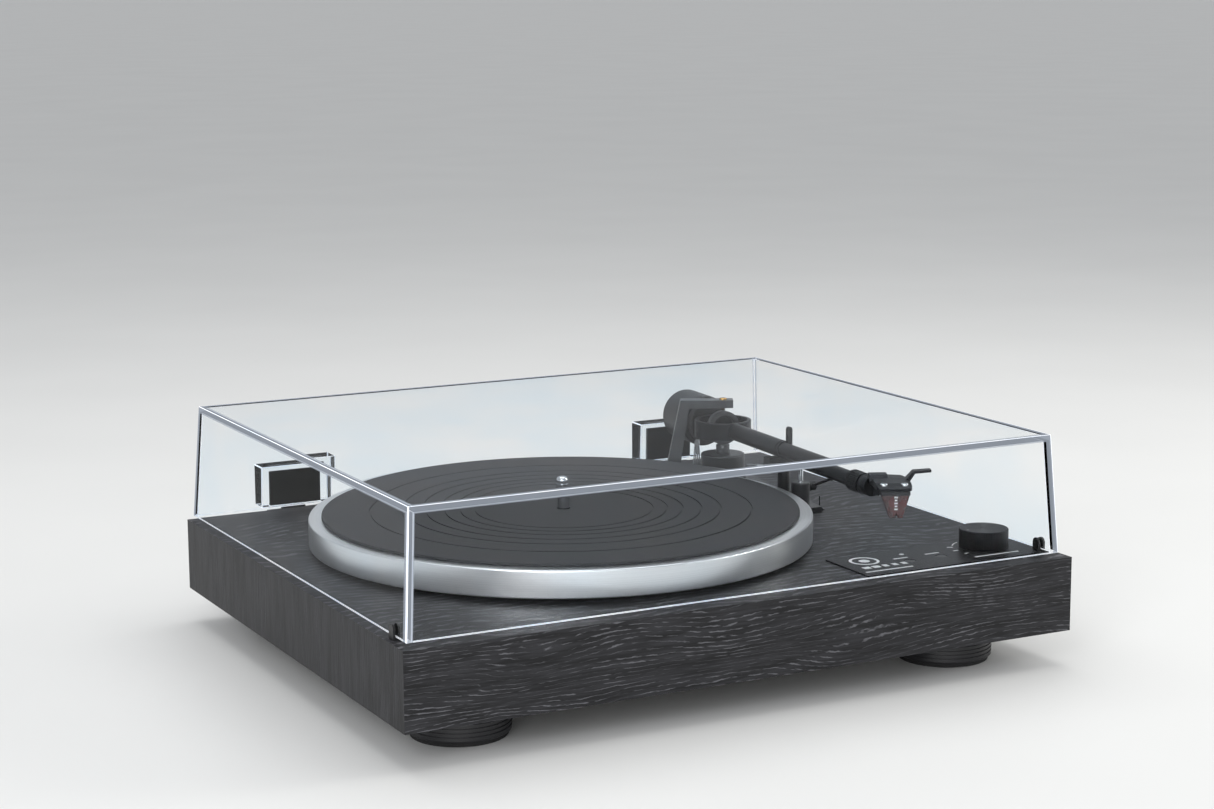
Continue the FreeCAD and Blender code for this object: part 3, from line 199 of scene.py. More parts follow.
    # The pores show least on the short sides, where they are cut across, and most on the top, where
    # the extra share is painted sheen standing in for light glancing off the top's grain.
    pore_share_and_top_sheen = add_node(tree, "Math", {0: on_top, 1: 0.2, 2: 0.8}, operation="MULTIPLY_ADD")
    pore_share_and_top_sheen = add_node(tree, "Math", {0: on_side, 1: -0.5, 2: pore_share_and_top_sheen}, operation="MULTIPLY_ADD")
    share = add_node(tree, "Math", {0: pores, 1: pore_share_and_top_sheen}, operation="MULTIPLY")
    sunk = add_node(tree, "Math", {0: pores, 1: -1.0}, operation="MULTIPLY")
    relief = add_node(tree, "Math", {0: streaks, 1: 0.5, 2: sunk}, operation="MULTIPLY_ADD")
    feed(tree, shader, {
        "Base Color": add_node(tree, "Mix", {0: share, 6: ground, 7: look.pore_colour},
                               output=2, data_type="RGBA"),
        "IOR": 1.5,
        "Specular IOR Level": 0.3,
        "Roughness": add_node(tree, "MapRange", {"Value": pores, "To Min": 0.48, "To Max": 0.7}),
        "Normal": add_node(tree, "Bump", {"Height": relief, "Distance": 0.15 * MM, "Strength": 0.8}),
    })
    return material


def knurl(material, centre, turn, count, upright, depth):
    """Cuts ribs round a finish that is made already, fewer than real knurling has, so that they show.
    The axis through centre stands up, or lies level and turned from -Y."""
    tree = material.node_tree
    shader = tree.nodes["Principled BSDF"]
    place = add_node(tree, "TexCoord", output="Object")
    straight = add_node(tree, "VectorRotate", {"Vector": place, "Center": tuple(centre), "Angle": turn},
                        rotation_type="Z_AXIS")
    offset = add_node(tree, "VectorMath", {0: straight, 1: tuple(centre)}, operation="SUBTRACT")
    x, y, z = add_node(tree, "SeparateXYZ", {"Vector": offset}).node.outputs
    angle = add_node(tree, "Math", {0: y if upright else z, 1: x}, operation="ARCTAN2")
    turns = add_node(tree, "Math", {0: angle, 1: float(count)}, operation="MULTIPLY")
    wave = add_node(tree, "Math", {0: turns}, operation="SINE")
    under = shader.inputs["Normal"].links[0].from_socket
    ribs = add_node(tree, "Bump", {"Height": wave, "Distance": depth, "Strength": 0.9, "Normal": under})
    feed(tree, shader, {"Normal": ribs})


def turned_aluminium(centre, look):
    """Anodised aluminium, fine-turned: faint circles round the spindle stretch every highlight."""
    material, tree, shader = new_material("turned_anodised_aluminium")
    place = add_node(tree, "TexCoord", output="Object")
    z = add_node(tree, "SeparateXYZ", {"Vector": place}, output="Z")
    offset = add_node(tree, "VectorMath", {0: place, 1: tuple(centre)}, operation="SUBTRACT")
    level = add_node(tree, "VectorMath", {0: offset, 1: (1.0, 1.0, 0.0)}, operation="MULTIPLY")
    radius = add_node(tree, "VectorMath", {0: level}, output="Value", operation="LENGTH")
    cut = add_node(tree, "CombineXYZ", {"X": radius, "Z": z})
    lines = add_node(tree, "TexNoise", {"Vector": cut, "Scale": 1 / look.turning_pitch, "Detail": 3.0,
                                        "Roughness": 0.6})
    tone = colour_between(tree, lines, look.aluminium_dark, look.aluminium_light, 0.25, 0.75)
    feed(tree, shader, {"Base Color": tone, "Metallic": 1.0})
    texture(tree, shader, lines, 0.24, 0.36, 0.01 * MM, 0.35)
    return material


def mat_rubber():
    """Moulded nitrile rubber, matt and slightly dusty, so it reads dark grey instead of black."""
    material, tree, shader = new_material("moulded_mat_rubber")
    place = add_node(tree, "TexCoord", output="Object")
    bloom = add_node(tree, "TexNoise", {"Vector": place, "Scale": 1 / (45 * MM), "Detail": 3.0,
                                        "Roughness": 0.55})
    grit = add_node(tree, "TexNoise", {"Vector": place, "Scale": 1 / (0.6 * MM), "Detail": 2.0,
                                       "Roughness": 0.6})
    feed(tree, shader, {
        "Base Color": colour_between(tree, bloom, linear("#2a2a2c"), linear("#343437")),
        "IOR": 1.52,
        "Roughness": add_node(tree, "MapRange", {"Value": bloom, "To Min": 0.62, "To Max": 0.78}),
        "Normal": add_node(tree, "Bump", {"Height": grit, "Distance": 0.03 * MM, "Strength": 0.3}),
    })
    return material


def moulded_plastic(name, dark, light, roughness, grain=0.5 * MM, depth=0.02 * MM):
    """Moulded plastic, ABS unless its name says otherwise: a fine spark-eroded grain softens its
    highlights."""
    material, tree, shader = new_material(name)
    place = add_node(tree, "TexCoord", output="Object")
    tone = add_node(tree, "TexNoise", {"Vector": place, "Scale": 1 / (18 * MM), "Detail": 2.0,
                                       "Roughness": 0.5})
    grit = add_node(tree, "TexNoise", {"Vector": place, "Scale": 1 / grain, "Detail": 2.0, "Roughness": 0.6})
    feed(tree, shader, {"Base Color": colour_between(tree, tone, linear(dark), linear(light)), "IOR": 1.54})
    texture(tree, shader, grit, roughness - 0.06, roughness + 0.08, depth, 0.4)
    return material


def soft_rubber():
    """Black moulded rubber of the foot rings and grommets: dull, with no clear reflection."""
    return moulded_plastic("moulded_black_rubber", "#111112", "#19191a", 0.85, 0.8 * MM, 0.03 * MM)


def board_laminate():
    """Green solder mask over copper on glass laminate: even and slightly shiny."""
    return moulded_plastic("green_solder_mask", "#0c3a22", "#11492c", 0.35, 0.7 * MM, 0.01 * MM)


def enamelled_metal(name, dark, light, roughness):
    """Cast metal under baked satin enamel: a slight orange peel bends the soft highlights."""
    material, tree, shader = new_material(name)
    place = add_node(tree, "TexCoord", output="Object")
    peel = add_node(tree, "TexNoise", {"Vector": place, "Scale": 1 / (0.9 * MM), "Detail": 2.0,
                                       "Roughness": 0.5})
    tone = add_node(tree, "TexNoise", {"Vector": place, "Scale": 1 / (12 * MM), "Detail": 2.0,
                                       "Roughness": 0.5})
    colour = colour_between(tree, tone, linear(dark), linear(light))
    feed(tree, shader, {"Base Color": colour, "IOR": 1.5, "Coat Weight": 0.15, "Coat Roughness": 0.25})
    texture(tree, shader, peel, roughness - 0.05, roughness + 0.07, 0.012 * MM, 0.5)
    return material


def black_anodised(name, dark, light, roughness):
    """Black-anodised aluminium, and steel under black oxide: dark, with a silky metallic sheen."""
    material, tree, shader = new_material(name)
    place = add_node(tree, "TexCoord", output="Object")
    lines = add_node(tree, "TexNoise", {"Vector": place, "Scale": 1 / (0.35 * MM), "Detail": 3.0,
                                        "Roughness": 0.6})
    tone = colour_between(tree, lines, linear(dark), linear(light))
    feed(tree, shader, {"Base Color": tone, "Metallic": 0.75})
    texture(tree, shader, lines, roughness - 0.05, roughness + 0.08, 0.006 * MM, 0.3)
    return material


def bright_metal(name, dark, light, roughness):
    """Turned and polished metal: steel spindle, gilt screw or brass bush, with faint tool marks."""
    material, tree, shader = new_material(name)
    place = add_node(tree, "TexCoord", output="Object")
    marks = add_node(tree, "TexNoise", {"Vector": place, "Scale": 1 / (0.5 * MM), "Detail": 3.0,
                                        "Roughness": 0.6})
    tone = colour_between(tree, marks, linear(dark), linear(light))
    feed(tree, shader, {"Base Color": tone, "Metallic": 1.0})
    texture(tree, shader, marks, roughness - 0.03, roughness + 0.06, 0.004 * MM, 0.25)
    return material


def near_edges(tree, low, high, draft, band):
    """1 within a wall's thickness of the lid's edges and corners, and 0 elsewhere: where the painted glow
    lies over the walls. Each wall leans in by draft from the bottom to the top."""
    place = add_node(tree, "TexCoord", output="Object")
    x, y, z = add_node(tree, "SeparateXYZ", {"Vector": place}).node.outputs
    height = add_node(tree, "Math", {0: z, 1: low.z}, operation="SUBTRACT")
    lean = add_node(tree, "Math", {0: height, 1: draft / (high.z - low.z)}, operation="MULTIPLY")
    out = add_node(tree, "Math", {0: x}, operation="ABSOLUTE")
    to_side = add_node(tree, "Math", {0: high.x, 1: out}, operation="SUBTRACT")
    to_front = add_node(tree, "Math", {0: y, 1: low.y}, operation="SUBTRACT")
    to_back = add_node(tree, "Math", {0: high.y, 1: y}, operation="SUBTRACT")
    near = add_node(tree, "Math", {0: high.z, 1: z}, operation="SUBTRACT")
    near = add_node(tree, "Math", {0: near, 1: band}, operation="LESS_THAN")
    for distance in (to_side, to_front, to_back):
        gap = add_node(tree, "Math", {0: distance, 1: lean}, operation="SUBTRACT")
        close = add_node(tree, "Math", {0: gap, 1: band}, operation="LESS_THAN")
        near = add_node(tree, "Math", {0: near, 1: close}, operation="ADD")
    # An edge is where two walls are near, and a corner where three are.
    return add_node(tree, "Math", {0: near, 1: 1.5}, operation="GREATER_THAN")


def clear_acrylic(look, name, painted_glow_mask=None):
    """Cast acrylic sheet with a faint cool cast; its antistatic wash keeps the reflections weak.
    Over the walls, the sheet carries a painted glow, which stands in for the light that the milled edges
    gather."""
    material, tree, shader = new_material(name)
    place = add_node(tree, "TexCoord", output="Object")
    haze = add_node(tree, "TexNoise", {"Vector": place, "Scale": 1 / (60 * MM), "Detail": 2.0,
                                       "Roughness": 0.5})
    tint = colour_between(tree, haze, look.acrylic_tint, linear("#ffffff"))
    feed(tree, shader, {"Base Color": tint, "Transmission Weight": 1.0, "IOR": 1.49, "Roughness": 0.0})
    passing = add_node(tree, "BsdfRefraction", {"Color": tint, "Roughness": 0.0, "IOR": 1.49})
    sheet = add_node(tree, "MixShader", {0: look.gloss, 1: passing, 2: shader.outputs[0]})
    # Painted glow: an emission mixed over the sheet near its edges, standing in for light carried through the
    # walls.
    if painted_glow_mask:
        glow = add_node(tree, "Emission", {"Color": look.painted_glow_colour, "Strength": look.painted_wall_glow})
        share = add_node(tree, "Math", {0: painted_glow_mask(tree), 1: look.band_share}, operation="MULTIPLY")
        sheet = add_node(tree, "MixShader", {0: share, 1: sheet, 2: glow})
    feed(tree, tree.nodes["Material Output"], {"Surface": sheet})
    return material


def acrylic_edge_painted_glow(look):
    """The milled edges of the acrylic, with a painted glow: they emit a cool white light of their own, which
    stands in for the light that the whole sheet catches and passes on to them."""
    material, tree, shader = new_material("milled_acrylic_edge_painted_glow")
    place = add_node(tree, "TexCoord", output="Object")
    haze = add_node(tree, "TexNoise", {"Vector": place, "Scale": 1 / (30 * MM), "Detail": 3.0,
                                       "Roughness": 0.6})
    glow = colour_between(tree, haze, look.painted_glow_colour, linear("#ffffff"))
    feed(tree, shader, {"Base Color": glow, "IOR": 1.49, "Roughness": 0.3, "Emission Color": glow,
                        "Emission Strength": look.painted_edge_glow})
    return material


def red_polycarbonate():
    """Dark red tinted polycarbonate of the stylus holder, moulded glossy with a little depth."""
    material, tree, shader = new_material("tinted_red_polycarbonate")
    place = add_node(tree, "TexCoord", output="Object")
    cloud = add_node(tree, "TexNoise", {"Vector": place, "Scale": 1 / (5 * MM), "Detail": 2.0,
                                        "Roughness": 0.5})
    feed(tree, shader, {
        "Base Color": colour_between(tree, cloud, linear("#3a0a0e"), linear("#560f14")),
        "IOR": 1.58,
        "Roughness": add_node(tree, "MapRange", {"Value": cloud, "To Min": 0.16, "To Max": 0.3}),
        "Coat Weight": 0.4,
        "Coat Roughness": 0.08,
    })
    return material


def printed_ink(look):
    """White screen-printed ink, thin and matt, a shade greyer where it is worn."""
    material, tree, shader = new_material("screen_printed_white_ink")
    place = add_node(tree, "TexCoord", output="Object")
    wear = add_node(tree, "TexNoise", {"Vector": place, "Scale": 1 / (1.5 * MM), "Detail": 3.0,
                                       "Roughness": 0.6})
    colour = colour_between(tree, wear, look.ink_worn, look.ink_fresh, 0.25, 0.6)
    feed(tree, shader, {"Base Color": colour, "Roughness": 0.6})
    return material


# ---- shaping helpers ----------------------------------------------------------------------
def dress(node_names, material, bevel=0.0, edge_material=None):
    """Gives CAD nodes their finish, and breaks their sharp edges as a maker would."""
    for name in node_names:
        node = NODES[name]
        node.data.materials.clear()
        node.data.materials.append(material)
        if edge_material:
            node.data.materials.append(edge_material)
        if bevel:
            seams = node.modifiers.new("join_seams", "WELD")
            seams.merge_threshold = 0.001 * MM
            edges = node.modifiers.new("broken_edges", "BEVEL")
            edges.width = bevel
            edges.segments = 2
            edges.limit_method = "ANGLE"
            edges.angle_limit = math.radians(30)
            edges.harden_normals = True
            if edge_material:
                edges.material = 1


def new_piece(name, fill, material, body):
    """A mesh piece that a function fills, riding on a body."""
    bm = bmesh.new()
    fill(bm)
    bmesh.ops.recalc_face_normals(bm, faces=bm.faces)
    mesh = bpy.data.meshes.new(name)
    bm.to_mesh(mesh)
    bm.free()
    piece = bpy.data.objects.new(name, mesh)
    bpy.context.scene.collection.objects.link(piece)
    mesh.materials.append(material)
    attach(piece, body)


def middle(node):
    """The middle of a node's box at rest."""
    low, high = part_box(node)
    return (low + high) / 2


def add_prism(bm, bottom, top):
    """A closed solid between two outlines that have the same number of corners."""
    lower = [bm.verts.new(corner) for corner in bottom]
    upper = [bm.verts.new(corner) for corner in top]
    bm.faces.new(lower)
    bm.faces.new(upper)
    for k in range(len(bottom)):
        j = (k + 1) % len(bottom)
        bm.faces.new((lower[k], lower[j], upper[j], upper[k]))


def add_slab(bm, corners, z, thickness):
    """A flat slab on a polygon of (x, y) corners, from z up."""
    add_prism(bm, [(x, y, z) for x, y in corners], [(x, y, z + thickness) for x, y in corners])


def add_panel(bm, heart, across, up, out):
    """A slab on an upright face, from its middle, width, height and thickness vectors."""
    corners = [heart + across * u + up * v for u, v in ((-0.5, -0.5), (0.5, -0.5), (0.5, 0.5), (-0.5, 0.5))]
    add_prism(bm, corners, [corner + out for corner in corners])


def add_bar(bm, x, y, length, width, z, thickness, turn=0.0):
    """A bar with its middle at (x, y), turned by this angle from +X."""
    c, s = math.cos(turn), math.sin(turn)
    corners = []
    for u, v in ((-1, -1), (1, -1), (1, 1), (-1, 1)):
        du, dv = u * length / 2, v * width / 2
        corners.append((x + du * c - dv * s, y + du * s + dv * c))
    add_slab(bm, corners, z, thickness)


def add_arc(bm, x, y, radius, width, start, end, z, thickness, steps=48):
    """An arc from one angle to another, in degrees, or from 0 to 360 a ring."""
    for k in range(steps):
        corners = []
        a0 = math.radians(start + (end - start) * k / steps)
        a1 = math.radians(start + (end - start) * (k + 1) / steps)
        for a, r in ((a0, radius), (a1, radius), (a1, radius + width), (a0, radius + width)):
            corners.append((x + r * math.cos(a), y + r * math.sin(a)))
        add_slab(bm, corners, z, thickness)


def add_disc(bm, x, y, radius, z, thickness, steps=32):
    """A round slab with its middle at (x, y)."""
    angles = [2 * math.pi * k / steps for k in range(steps)]
    add_slab(bm, [(x + radius * math.cos(a), y + radius * math.sin(a)) for a in angles], z, thickness)


# ---- settings -----------------------------------------------------------------------------
class OakSettings(bpy.types.PropertyGroup):
    """The veneer's figure and stain."""
    stain_dark: FloatVectorProperty(
        name="Dark stain", description="Colour of the darkest wood",
        subtype="COLOR", size=4, min=0, max=1, default=linear("#121214"))
    stain_light: FloatVectorProperty(
        name="Light stain", description="Colour of the lightest wood",
        subtype="COLOR", size=4, min=0, max=1, default=linear("#29292c"))
    pore_colour: FloatVectorProperty(
        name="Pores", description="Colour of the open pores",
        subtype="COLOR", size=4, min=0, max=1, default=linear("#646468"))
    pore_length: FloatProperty(
        name="Pore length", description="Length of a pore along the grain",
        unit="LENGTH", default=8 * MM, min=1 * MM)
    pore_width: FloatProperty(
        name="Pore width", description="Spacing of the pores across the grain, coarser than 0.3 mm to show",
        unit="LENGTH", default=1.2 * MM, min=0.1 * MM)
    ring_width: FloatProperty(
        name="Ring width", description="Spacing of the growth rings",
        unit="LENGTH", default=2.5 * MM, min=1 * MM)
    sway_length: FloatProperty(
        name="Sway length", description="Length of the grain's long arches",
        unit="LENGTH", default=130 * MM, min=5 * MM)
    sway_height: FloatProperty(
        name="Sway height", description="How far the long arches wander across the board",
        unit="LENGTH", default=26 * MM, min=0)


class MetalSettings(bpy.types.PropertyGroup):
    """The platter's turned aluminium."""
    aluminium_dark: FloatVectorProperty(
        name="Dark lines", description="Colour between the turned lines",
        subtype="COLOR", size=4, min=0, max=1, default=linear("#dcdee0"))
    aluminium_light: FloatVectorProperty(
        name="Light lines", description="Colour of the turned lines",
        subtype="COLOR", size=4, min=0, max=1, default=linear("#f3f4f5"))
    turning_pitch: FloatProperty(
        name="Turning pitch", description="Spacing of the turned lines, coarser than 0.1 mm to show",
        unit="LENGTH", default=0.5 * MM, min=0.05 * MM)


class PrintSettings(bpy.types.PropertyGroup):
    """The printed marks on the panel, the knob and the cartridge."""
    ink_worn: FloatVectorProperty(
        name="Worn ink", description="Colour of the ink where it is worn",
        subtype="COLOR", size=4, min=0, max=1, default=linear("#b9babc"))
    ink_fresh: FloatVectorProperty(
        name="Fresh ink", description="Colour of the ink where it is whole",
        subtype="COLOR", size=4, min=0, max=1, default=linear("#e9e9e7"))
    badge_radius: FloatProperty(
        name="Badge radius", description="Inner radius of the panel's ring",
        unit="LENGTH", default=7.4 * MM, min=5 * MM)
    label_widths: FloatVectorProperty(
        name="Label bars", description="Widths of the bars on the cartridge, top down",
        unit="LENGTH", size=5, min=0, default=(2.2 * MM, 1.6 * MM, 2.2 * MM, 1.6 * MM, 2.2 * MM))


class ArmSettings(bpy.types.PropertyGroup):
    """The directions in which the parked arm and its headshell point."""
    arm_turn: FloatProperty(
        name="Arm turn", description="How far the arm points from straight ahead to the left",
        subtype="ANGLE", unit="ROTATION", default=math.radians(3.1))
    head_turn: FloatProperty(
        name="Headshell turn", description="How far the headshell points from straight ahead to the left",
        subtype="ANGLE", unit="ROTATION", default=math.radians(25.6))


class LidSettings(bpy.types.PropertyGroup):
    """The acrylic lid."""
    acrylic_tint: FloatVectorProperty(
        name="Tint", description="Colour cast of the clear sheet",
        subtype="COLOR", size=4, min=0, max=1, default=linear("#fafdff"))
    gloss: FloatProperty(
        name="Gloss", description="Strength of the sheet's reflections",
        subtype="FACTOR", default=0.13, min=0, max=1)
    # Painted glow: the edge colour, wall glow, wall cover and edge glow set an emission on the lid's edges
    # and walls that stands in for light carried through the acrylic.
    painted_glow_colour: FloatVectorProperty(
        name="Edge colour", description="Colour of the milled edges",
        subtype="COLOR", size=4, min=0, max=1, default=linear("#dfe9f8"))
    wall: FloatProperty(
        name="Wall", description="Thickness of the lid's walls",
        unit="LENGTH", default=4 * MM, min=1 * MM)
    draft: FloatProperty(
        name="Draft", description="How far each wall leans in over its height",
        unit="LENGTH", default=4.4 * MM, min=0)
    painted_wall_glow: FloatProperty(
        name="Wall glow", description="Light seen down through the walls", default=0.5, min=0)
    band_share: FloatProperty(
        name="Wall cover", description="How much the light in the walls hides what is behind it",
        subtype="FACTOR", default=0.7, min=0, max=1)
    painted_edge_glow: FloatProperty(
        name="Edge glow", description="Light that leaves the edges", default=0.55, min=0)
    edge_bevel: FloatProperty(
        name="Edge bevel", description="Width of the milled edge",
        unit="LENGTH", default=0.6 * MM, min=0.1 * MM)


class StageSettings(bpy.types.PropertyGroup):
    """Floor, light and camera."""
    floor_colour: FloatVectorProperty(
        name="Floor", description="Colour of the pale floor",
        subtype="COLOR", size=4, min=0, max=1, default=linear("#e2e2e0"))
    room_colour: FloatVectorProperty(
        name="Room", description="Colour of the even room light",
        subtype="COLOR", size=4, min=0, max=1, default=linear("#e8eaed"))
    room_light: FloatProperty(
        name="Room light", description="Strength of the even room light", default=0.68, min=0)
    light_scale: FloatProperty(
        name="Softboxes", description="Scales all the softboxes", default=1.0, min=0)
    camera_place: FloatVectorProperty(
        name="Camera", description="Camera position",
        subtype="TRANSLATION", unit="LENGTH", default=(-0.697, -1.334, 0.4162))
    camera_turn: FloatVectorProperty(
        name="Camera turn", description="Camera rotation",
        subtype="EULER", unit="ROTATION", default=tuple(math.radians(a) for a in (79.969, 0.264, -27.618)))
    lens: FloatProperty(
        name="Lens", description="Focal length, mm", unit="CAMERA", default=73.09, min=10)


# ---- operators: one for each piece or group of like pieces ---------------------------------
class RECORDPLAYER_OT_case(bpy.types.Operator):
    """Finish the veneered case"""
    bl_idname = "recordplayer.case"
    bl_label = "Veneered case"

    def execute(self, context):
        dress(["plinth_case"], stained_oak(context.scene.oak_look), bevel=0.4 * MM)
        return {"FINISHED"}


class RECORDPLAYER_OT_underside(bpy.types.Operator):
    """Finish the bottom tray, its screws, the feet and their rubber rings"""
    bl_idname = "recordplayer.underside"
    bl_label = "Tray and feet"

    def execute(self, context):
        coated = enamelled_metal("powder_coated_steel", "#141415", "#1d1d1f", 0.55)
        dress(["bottom_cover", "connector_plate"], coated)
        oxide = black_anodised("black_oxide_screws", "#18181a", "#2a2a2c", 0.4)
        dress(["tray_screws", "hinge_screws"], oxide)
        feet = ["foot_" + place for place in ("front_left", "front_right", "rear_left", "rear_right")]
        dress(feet, moulded_plastic("moulded_foot_abs", "#17171a", "#202023", 0.42))
        dress(["foot_pads", "motor_grommets"], soft_rubber())
        return {"FINISHED"}


class RECORDPLAYER_OT_platter(bpy.types.Operator):
    """Finish the platter, its mat, the spindle and the other polished steel"""
    bl_idname = "recordplayer.platter"
    bl_label = "Platter, mat and spindle"

    def execute(self, context):
        dress(["platter"], turned_aluminium(middle("spindle_shaft"), context.scene.metal_look))
        dress(["platter_mat"], mat_rubber())
        polished = bright_metal("polished_steel", "#c4c6c9", "#e2e4e6", 0.12)
        dress(["spindle_shaft", "thrust_ball", "arm_leads", "lift_bar", "cartridge_screws", "cantilever",
               "hinge_pins"], polished)
        return {"FINISHED"}


class RECORDPLAYER_OT_drive(bpy.types.Operator):
    """Finish the hidden drive: sub-platter, bearing, belt, pulley, motor and boards"""
    bl_idname = "recordplayer.drive"
    bl_label = "Drive and boards"

    def execute(self, context):
        dress(["sub_platter"], moulded_plastic("moulded_acetal", "#c9c8c0", "#d8d7cf", 0.4))
        dress(["bearing_housing"], bright_metal("turned_cast_alloy", "#8f9194", "#a8aaad", 0.35))
        dress(["bearing_bush", "motor_pulley"], bright_metal("turned_brass", "#a8843f", "#c9a45a", 0.25))
        dress(["machine_screws", "motor_body"], bright_metal("zinc_plated_steel", "#8b8d8f", "#a9abad", 0.35))
        dress(["drive_belt"], moulded_plastic("ground_neoprene_belt", "#161617", "#1e1e20", 0.8))
        dress(["circuit_board", "control_board"], board_laminate())
        return {"FINISHED"}


class RECORDPLAYER_OT_connectors(bpy.types.Operator):
    """Finish the gilt output jacks, the arm's gilt pivot screw and the low-voltage inlet"""
    bl_idname = "recordplayer.connectors"
    bl_label = "Rear sockets"

    def execute(self, context):
        dress(["output_jacks", "upper_pivot_screw"], bright_metal("gilt_brass", "#c99a4a", "#e8bf78", 0.18))
        dress(["dc_inlet"], moulded_plastic("moulded_black_abs", "#161617", "#1f1f21", 0.4))
        return {"FINISHED"}


def print_panel(bm, badge_radius):
    """The panel's marks, all generic: a ring with a dot, a row of blocks and bars in place of words,
    a bar behind each button, a dot for the lamp, and ticks and an arc round the knob."""
    low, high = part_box("control_panel")
    knob = middle("speed_knob")
    level = high.z - 0.02 * MM
    ink = 0.06 * MM
    badge_x, badge_y = low.x + 18 * MM, low.y + 32 * MM
    block_x, block_y = low.x + 10 * MM, low.y + 17 * MM
    block_step, block_height = 6.6 * MM, 4.6 * MM
    lamp_x, lamp_y = low.x + 47.3 * MM, low.y + 35.7 * MM
    word_height = 1.8 * MM
    tick_radius, tick_length, tick_width = 20.5 * MM, 3.6 * MM, 1.5 * MM

    add_arc(bm, badge_x, badge_y, badge_radius, 1.8 * MM, 0, 360, level, ink)
    add_disc(bm, badge_x, badge_y, badge_radius - 4 * MM, level, ink)
    for k, block in enumerate((5.0, 5.0, 3.4, 3.4, 3.4)):
        add_bar(bm, block_x + k * block_step, block_y, block * MM, block_height, level, ink)
    add_bar(bm, low.x + 20 * MM, low.y + 8 * MM, 33 * MM, word_height, level, ink)
    for button in ("size_button", "start_button"):
        at = middle(button)
        add_bar(bm, at.x - 1.5 * MM, at.y + 8 * MM, 10 * MM, 1.6 * MM, level, ink)
    add_disc(bm, lamp_x, lamp_y, 1.5 * MM, level, ink)
    for turn in (math.radians(205), math.radians(180), math.radians(155)):
        tick_x, tick_y = knob.x + tick_radius * math.cos(turn), knob.y + tick_radius * math.sin(turn)
        add_bar(bm, tick_x, tick_y, tick_length, tick_width, level, ink, turn)
    add_arc(bm, knob.x, knob.y, 18.5 * MM, 0.7 * MM, 112, 142, level, ink, 12)
    add_bar(bm, knob.x - 4 * MM, low.y + 9 * MM, 32 * MM, word_height, level, ink)


def print_pointer(bm):
    """A dot on top of the knob, close to its edge, that points at the ticks."""
    low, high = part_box("speed_knob")
    add_disc(bm, low.x + 3.2 * MM, middle("speed_knob").y, 0.75 * MM, high.z - 0.4 * MM, 0.3 * MM)


class RECORDPLAYER_OT_controls(bpy.types.Operator):
    """Finish the panel, knob and buttons, and print the generic marks"""
    bl_idname = "recordplayer.controls"
    bl_label = "Panel, knob and marks"

    def execute(self, context):
        look = context.scene.print_look
        panel = black_anodised("anodised_panel", "#1c1c1f", "#26262a", 0.42)
        dress(["control_panel"], panel, bevel=0.15 * MM)
        turned = black_anodised("turned_black_knob", "#17171a", "#232327", 0.35)
        knurl(turned, middle("speed_knob"), turn=0.0, count=90, upright=True, depth=0.12 * MM)
        dress(["speed_knob"], turned, bevel=0.3 * MM)
        buttons = moulded_plastic("moulded_button_abs", "#0e0e0f", "#171718", 0.35)
        dress(["size_button", "start_button"], buttons)
        ink = printed_ink(look)
        new_piece("panel_print", lambda bm: print_panel(bm, look.badge_radius), ink, "plinth")
        new_piece("knob_pointer", print_pointer, ink, "knob")
        return {"FINISHED"}


def bend_eyelet(bm):
    """A small wire ring flat on the deck, right of the lift, with a thin upright wire in it."""
    lift = middle("lift_cylinder")
    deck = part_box("plinth_case")[1].z
    x = lift.x + 14 * MM
    add_arc(bm, x, lift.y, 2.4 * MM, 0.9 * MM, 0, 360, deck, 0.8 * MM)
    add_disc(bm, x, lift.y, 0.4 * MM, deck, 9 * MM, 10)


class RECORDPLAYER_OT_tonearm(bpy.types.Operator):
    """Finish the tonearm, its bearings, rest, lift and counterweight, and add the wire eyelet"""
    bl_idname = "recordplayer.tonearm"
    bl_label = "Tonearm and bearings"

    def execute(self, context):
        grey = enamelled_metal("dark_grey_enamel", "#4a4c4e", "#56585a", 0.38)
        black = enamelled_metal("satin_black_enamel", "#17181a", "#202124", 0.38)
        dress(["arm_bracket", "gimbal_hoop", "lower_pivot_cup"], grey, bevel=0.25 * MM)
        dress(["arm_base", "lift_cylinder"], black)
        satin = black_anodised("satin_black_arm", "#1d1e21", "#2b2c30", 0.36)
        dress(["gimbal_ring", "arm_tube", "arm_stub"], satin)
        dress(["counterweight"], enamelled_metal("black_weight_enamel", "#161618", "#202023", 0.42))
        collar = black_anodised("knurled_black_collar", "#131315", "#2c2c30", 0.26)
        arm_turn = context.scene.arm_look.arm_turn
        knurl(collar, middle("locking_ring"), turn=arm_turn, count=36, upright=False, depth=0.25 * MM)
        dress(["locking_ring"], collar)
        abs_black = moulded_plastic("moulded_arm_abs", "#121214", "#1b1b1e", 0.4)
        dress(["force_dial", "arm_rest_post", "arm_rest_clip", "cue_lever"], abs_black)
        wire = black_anodised("black_oxide_wire", "#1b1b1d", "#3a3a3d", 0.3)
        new_piece("lead_eyelet", bend_eyelet, wire, "plinth")
        return {"FINISHED"}


def print_label(bm, head_turn, widths):
    """Plain bars one above the other on the front of the stylus holder, which leans a little forward
    towards its top."""
    ahead = Vector((-math.sin(head_turn), -math.cos(head_turn), 0))
    right = Vector((-ahead.y, ahead.x, 0))
    front = [face for face in NODES["stylus_holder"].data.polygons if face.normal.dot(ahead) > 0.99]
    area = sum(face.area for face in front)
    heart = sum((face.center * face.area for face in front), Vector()) / area
    skin = 0.05 * MM
    heart += ahead * skin
    top, step, lean = 5.0 * MM, 1.8 * MM, 0.03
    bar_height = Vector((0, 0, 1.2 * MM))
    for k, width in enumerate(widths):
        rise = top - step * k
        place = heart + Vector((0, 0, rise)) + ahead * lean * rise
        add_panel(bm, place, right * width, bar_height, ahead * skin)


